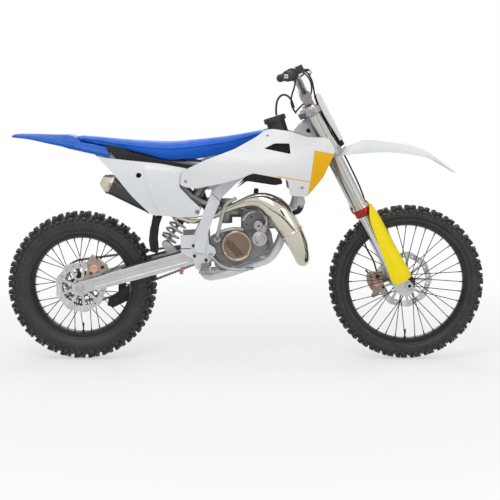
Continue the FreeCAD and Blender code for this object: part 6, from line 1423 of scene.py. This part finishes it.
for side, hand in both_sides:
    y = side * leg_y
    turned(f"wiper_ring_{hand}", fork(leg_x, y, 330),
           [(0.0314, 0.0), (0.0326, 0.0015), (0.0326, 0.0240), (0.0314, 0.0255)], 64, "steering", red_anodised,
           40, fork_up)
    turned(f"dust_seal_{hand}", fork(leg_x, y, 324),
           [(0.0225, 0.0), (0.0300, 0.0010), (0.0313, 0.0035), (0.0313, 0.0085), (0.0305, 0.0095)], 64, "steering",
           black_rubber, 40, fork_up)
    turned(f"fork_cap_{hand}", fork(leg_x, y, 800.6),
           [(0.0205, 0.0), (0.0205, 0.0030), (0.0180, 0.0042), (0.0110, 0.0044), (0.0106, 0.0036)], 6, "steering",
           hub_black, 20, fork_up)
    turned(f"clicker_{hand}", fork(leg_x, y, 803.5),
           [(0.0078, 0.0), (0.0078, 0.0060), (0.0066, 0.0072), (0.0030, 0.0072), (0.0026, 0.0060)], 24, "steering",
           red_anodised, 30, fork_up)
    for z in (772, 784, 590, 608):
        bolt_set(f"clamp_bolt_{hand}_{z}", [fork(leg_x - 33.5, side * 80, z)], -fork_ahead, 0.0048, 0.0040, "steering")
turned("stem_nut", fork(0, 0, 790),
       [(0.0170, 0.0), (0.0170, 0.0060), (0.0150, 0.0078), (0.0120, 0.0078), (0.0115, 0.0050)], 6, "steering",
       axle_zinc, 20, fork_up)
guard_stations = smooth_run([[0.0, 1.58, 1.12, -1.85], [0.10, 1.66, 1.20, -2.12], [0.30, 1.56, 1.17, -1.88],
                             [0.55, 1.48, 1.15, -1.62], [0.80, 1.42, 1.13, -1.40], [0.92, 1.32, 1.12, -1.15],
                             [1.0, 1.20, 1.10, -0.70]], 6)
guard_steps = 23
guard_reach = 35.0
guard_foot = 28
guard_height = 324
for side, hand in both_sides:
    points = []
    for up, ahead, aside, first in guard_stations:
        for step in range(guard_steps):
            turn = first + (0.45 - first) * step / (guard_steps - 1)
            x = guard_reach * math.cos(turn) * (1 + (ahead - 1) * min(max(math.cos(turn) * 3, 0), 1))
            aside_y = leg_y - guard_reach * aside * math.sin(turn)
            points.append(tuple(fork(leg_x + x, side * aside_y, guard_foot + up * guard_height)))
    guard = piece_of(f"fork_guard_{hand}", points, sheet_faces(len(guard_stations), guard_steps), "steering",
                     guard_yellow, 45)
    moulded_wall(guard, 0.0034, -side, 0.0009)
    if side < 0:
        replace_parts(guard, "fork_guards")
    for z in (66, 314):
        bolt_set(f"guard_bolt_{hand}_{z}", [fork(leg_x + guard_reach * 1.46, side * leg_y, z)], fork_ahead, 0.0052,
                 0.0028, "steering")
bolt_set("axle_pinch_bolts", [fork(leg_x + ahead, side * leg_y, -28) for side in (-1, 1) for ahead in (14, 34)],
         -fork_up, 0.0048, 0.004, "steering")

# Number plate, handlebar and hand controls
# A blank white plate bowed round the bar, with a black backing pad, on a tapered aluminium handlebar.
# Ribbed rubber grips with square end caps, a throttle housing, master cylinders and forged levers.
softened("number_plate", plastic_white, 0.0012)
bar_grey = finish("bar_anodise", (0.34, 0.34, 0.345), (0.27, 0.27, 0.275), 0.34, 0.85, tone_scale=16, relief=0.10)
grip_rubber = finish("grip_rubber", (0.020, 0.020, 0.021), (0.034, 0.034, 0.034), 0.70, tone_scale=50,
                     relief_scale=1200, relief=0.4)
lever_black = finish("lever_coating", (0.045, 0.045, 0.047), (0.075, 0.075, 0.078), 0.36, 0.5, tone_scale=40,
                     relief=0.12)
softened("hand_controls", lever_black, 0.0016, segments=3)


def held_line(name, route, radius, body, material):
    """A round line held along its route, drawn as a smooth curve."""
    data = bpy.data.curves.new(name, "CURVE")
    data.dimensions = "3D"
    spline = data.splines.new("NURBS")
    spline.points.add(len(route) - 1)
    for target, place in zip(spline.points, route):
        target.co = (*place, 1)
    spline.order_u = 3
    spline.use_endpoint_u = True
    spline.resolution_u = 8
    data.bevel_depth = radius
    data.bevel_resolution = 4
    data.use_fill_caps = True
    line = bpy.data.objects.new(name, data)
    scene.collection.objects.link(line)
    data.materials.append(material)
    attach(line, body)
    return line


def edges_broken(piece, width):
    """Rounds every edge of a blocky piece."""
    edge = piece.modifiers.new("broken_edges", "BEVEL")
    edge.width = width
    edge.segments = 3
    edge.harden_normals = True


bar_middle, bar_bend, bar_end = (30, 66, 846), (34, 148.8, 938), (-14, 372, 946)
bar_route = [(x, -y, z) for x, y, z in (bar_end, bar_bend, bar_middle)] + [bar_middle, bar_bend, bar_end]
bar = held_line("tapered_bar", [fork(*place) for place in bar_route], 0.011, "steering", bar_grey)
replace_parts(bar, "handlebar")
turned("bar_clamp_zone", fork(30, 0, 846),
       [(0.0112, -0.0640), (0.0140, -0.0520), (0.0141, 0.0), (0.0140, 0.0520), (0.0112, 0.0640)], 40, "steering",
       bar_grey, 35)
for side, hand in both_sides:
    end, bend = (fork(x, side * y, z) for x, y, z in (bar_end, bar_bend))
    run = (end - bend).normalized()
    profile = [(0.0126, -0.118), (0.0215, -0.118), (0.0215, -0.1135), (0.0165, -0.1125)]
    for rib in range(22):
        start = -0.1105 + rib * 0.0047
        profile += [(0.0153, start), (0.0165, start + 0.0008), (0.0165, start + 0.0026), (0.0153, start + 0.0034)]
    profile += [(0.0166, -0.0045), (0.0168, 0.0030), (0.0158, 0.0048), (0.0110, 0.0050)]
    grip = turned(f"grip_{hand}", end, profile, 40, "steering", grip_rubber, 28, run)
    if side < 0:
        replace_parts(grip, "grips")
    turned(f"grip_end_{hand}", end,
           [(0.0112, 0.0046), (0.0112, 0.0064), (0.0100, 0.0074), (0.0060, 0.0074), (0.0055, 0.0066)], 4, "steering",
           cast_light, 20, run)
for side, hand in both_sides:
    for y in (34, 54):
        bolt_set(f"bar_clamp_bolt_{hand}_{y}", [fork(30 + ahead, side * y, 866) for ahead in (-14, 14)], fork_up,
                 0.0046, 0.0040, "steering")
    profile = [(-20, 826), (20, 826), (20, 850), (15, 860), (8, 865), (-8, 865), (-15, 860), (-20, 850)]
    points = [fork(30 + x, side * y, z) for y in (28, 60) for x, z in profile]
    edges_broken(piece_of(f"bar_clamp_{hand}", points, shell_faces(0, len(profile), 2), "steering", clamp_grey,
                          30), 0.0015)
pad = [(80, -34, 772), (80, 34, 772), (83, 26, 604), (83, -26, 604)]
points = [fork(x, y, z) for x, y, z in pad] + [fork(x - 20, y * 0.9, z - 4) for x, y, z in pad]
faces = [(0, 1, 2, 3), (7, 6, 5, 4), (0, 4, 5, 1), (1, 5, 6, 2), (2, 6, 7, 3), (3, 7, 4, 0)]
edges_broken(piece_of("plate_backing", points, faces, "steering", plastic_black, 30), 0.003)

# Hoses and cables
# Black rubber coolant hoses with clamps, a breather hose, the throttle cable and the hydraulic lines.
# Every one keeps its route from the CAD model, from one fitting to the other.
hose_rubber = finish("hose_rubber", (0.020, 0.020, 0.021), (0.032, 0.032, 0.033), 0.52, tone_scale=60,
                     relief_scale=1400, relief=0.25)
cable_black = finish("cable_sheath", (0.016, 0.016, 0.017), (0.026, 0.026, 0.027), 0.38, tone_scale=60, shine=0.2)
hose_shares = ((0.672, 0.078, 0.7228), (0.671, 0.076, 0.700), (0.655, 0.055, 0.683), (0.620, 0.035, 0.680),
               (0.5774, 0.028, 0.683))
for side, hand in both_sides:
    held_line(f"coolant_hose_{hand}", [shared(x, side * y, z) for x, y, z in hose_shares], 0.010, "chassis",
              hose_rubber)
    turned(f"hose_clamp_{hand}", shared(0.672, side * 0.078, 0.712),
           [(0.0104, 0.0), (0.0113, 0.0005), (0.0113, 0.0075), (0.0104, 0.0080)], 32, "chassis", bolt_steel,
           40, (0, 0, 1))
breather_shares = ((0.598, 0, 1.1216), (0.595, 0, 1.18), (0.616, 0.002, 1.222), (0.645, 0.004, 1.20),
                   (0.652, 0.006, 1.155))
held_line("breather_hose", [shared(*place) for place in breather_shares], 0.0042, "chassis", hose_rubber)
boot_route = [(0.41217, 0.0, 0.694), (0.3915, 0.0, 0.6975), (0.3752, 0.0233, 0.7217), (0.3643, 0.0326, 0.7621),
              (0.3504, 0.031, 0.8083), (0.3411, 0.031, 0.8314), (0.3291, 0.031, 0.8314)]
boot_stations = [(*shared(*place), 0.0180 + 0.0006 * (index % 2)) for index, place in enumerate(boot_route)]
boot = swept("intake_boot", boot_stations, 32, "chassis", hose_rubber, 8)
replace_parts(boot, "hoses")
brake_route = [(50, -182.9, 944), (62, -160, 940), (74, -125, 918), (78, -78, 884), (70, -28, 850), (64, 16, 820),
               (62, 46, 785), (60, 62, 735), (59, 70, 680), (64, 76, 615), (68, 72, 550), (67, 62, 480), (65, 57, 410),
               (56, 57, 345), (24, 57, 292), (-10, 58, 240), (-24, 64, 180), (-16, 73, 120), (-27.6, 75, 75.6)]
throttle_route = [(13, -243, 914.5), (0, -215, 894), (-22, -165, 872), (-35, -118, 846), (-38, -80, 820),
                  (-34, -50, 800)]
clutch_route = [(50, 182.9, 944), (64, 158, 938), (80, 125, 912), (80, 104, 872), (60, 84, 835), (28, 75, 817),
                (-8, 66, 810), (-32, 46, 800)]
for name, route in (("brake_line", brake_route), ("throttle_cable", throttle_route), ("clutch_line", clutch_route)):
    line = held_line(name, [fork(*place) for place in route], 0.0034, "steering", cable_black)
    if name == "brake_line":
        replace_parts(line, "cables")

# Brake calipers
# Castings in champagne anodised alloy, bolted to their carriers over the discs.
# Each has copper-coloured piston caps, black rubber boots on its slide pins and a capped bleed screw.
caliper_gold = finish("caliper_anodise", (0.50, 0.385, 0.32), (0.36, 0.27, 0.22), 0.34, 0.65, tone_scale=22,
                      relief_scale=900, relief=0.10)
piston_copper = finish("piston_copper", (0.78, 0.45, 0.36), (0.66, 0.36, 0.28), 0.30, 0.5, tone_scale=40, relief=0.05)
for node in ("rear_caliper", "front_caliper"):
    softened(node, caliper_gold, 0.0045, segments=4)


def caliper_casting(name, outline, side, body, caps, boots, bolts, bleed, shown_faces):
    """A casting over a caliper's outer face, its round caps and rubber boots of given widths, and its screws."""
    face = 83.0
    trimmed_panel(f"{name}_casting", rounded(outline, 4), lambda x, z: face, side, caliper_gold,
                  spacing=12.0, wall=0.0050, body=body)
    for label, level, out in shown_faces:
        for number, (x, z, width) in enumerate(caps):
            radius = width / 2000
            profile = [(radius, level - out * 0.002), (radius, level + out * 0.0030),
                       (radius * 0.86, level + out * 0.0042), (radius * 0.40, level + out * 0.0042),
                       (radius * 0.34, level + out * 0.0026)]
            turned(f"{name}_cap_{label}_{number}", bike(x, 0, z), profile, 40, body, piston_copper, 30)
        for number, (x, z, width) in enumerate(boots):
            radius = width / 2000
            profile = [(radius, level - out * 0.003), (radius * 1.1, level), (radius * 0.95, level + out * 0.0015),
                       (radius * 1.05, level + out * 0.0035), (radius * 0.7, level + out * 0.0060)]
            turned(f"{name}_boot_{label}_{number}", bike(x, 0, z), profile, 28, body, plastic_black,
                   40)
    bolt_set(f"{name}_bolts", [bike(x, side * face, z) for x, z in bolts], (0, side, 0), 0.0040, 0.0034, body)
    start, end = [bike(x, side * (face - 3), z) for x, z in bleed]
    bars(f"{name}_bleed_screw", [(start, end, 0.0036, 12)], body, plastic_black)


rear_casting = [(26, 350), (31, 370), (27, 390), (40, 402), (56, 397), (62, 412), (75, 410), (77, 394), (96, 392),
                (108, 384), (113, 373), (104, 364), (84, 355), (60, 349), (42, 344)]
caliper_casting("rear_caliper", rear_casting, -1, "chassis", [(56, 373, 30)], [(88, 378, 12), (42, 354, 10)],
                [(34, 388), (68, 402), (102, 374), (72, 360)], ((68, 408), (64, 424)), [("outer", -0.083, -1)])
front_corners = [(-60, 88), (-34, 80), (-24, 56), (-24, 10), (-22, -22), (-38, -24), (-45, -6), (-64, -14), (-88, -16),
                 (-92, -4), (-76, 8), (-82, 28), (-82, 52), (-74, 76)]
front_casting = [fork_side(*corner) for corner in front_corners]
caliper_casting("front_caliper", front_casting, 1, "steering", [(*fork_side(-50, 34), 24), (*fork_side(-50, 62), 18)],
                [(*fork_side(-33, 62), 14), (*fork_side(-32, 12), 10)],
                [fork_side(-74, 34), fork_side(-70, 2), fork_side(-32, 30), fork_side(-68, 58)],
                (fork_side(-60, 86), fork_side(-64, 100)), [("outer", 0.083, 1), ("inner", 0.044, -1)])
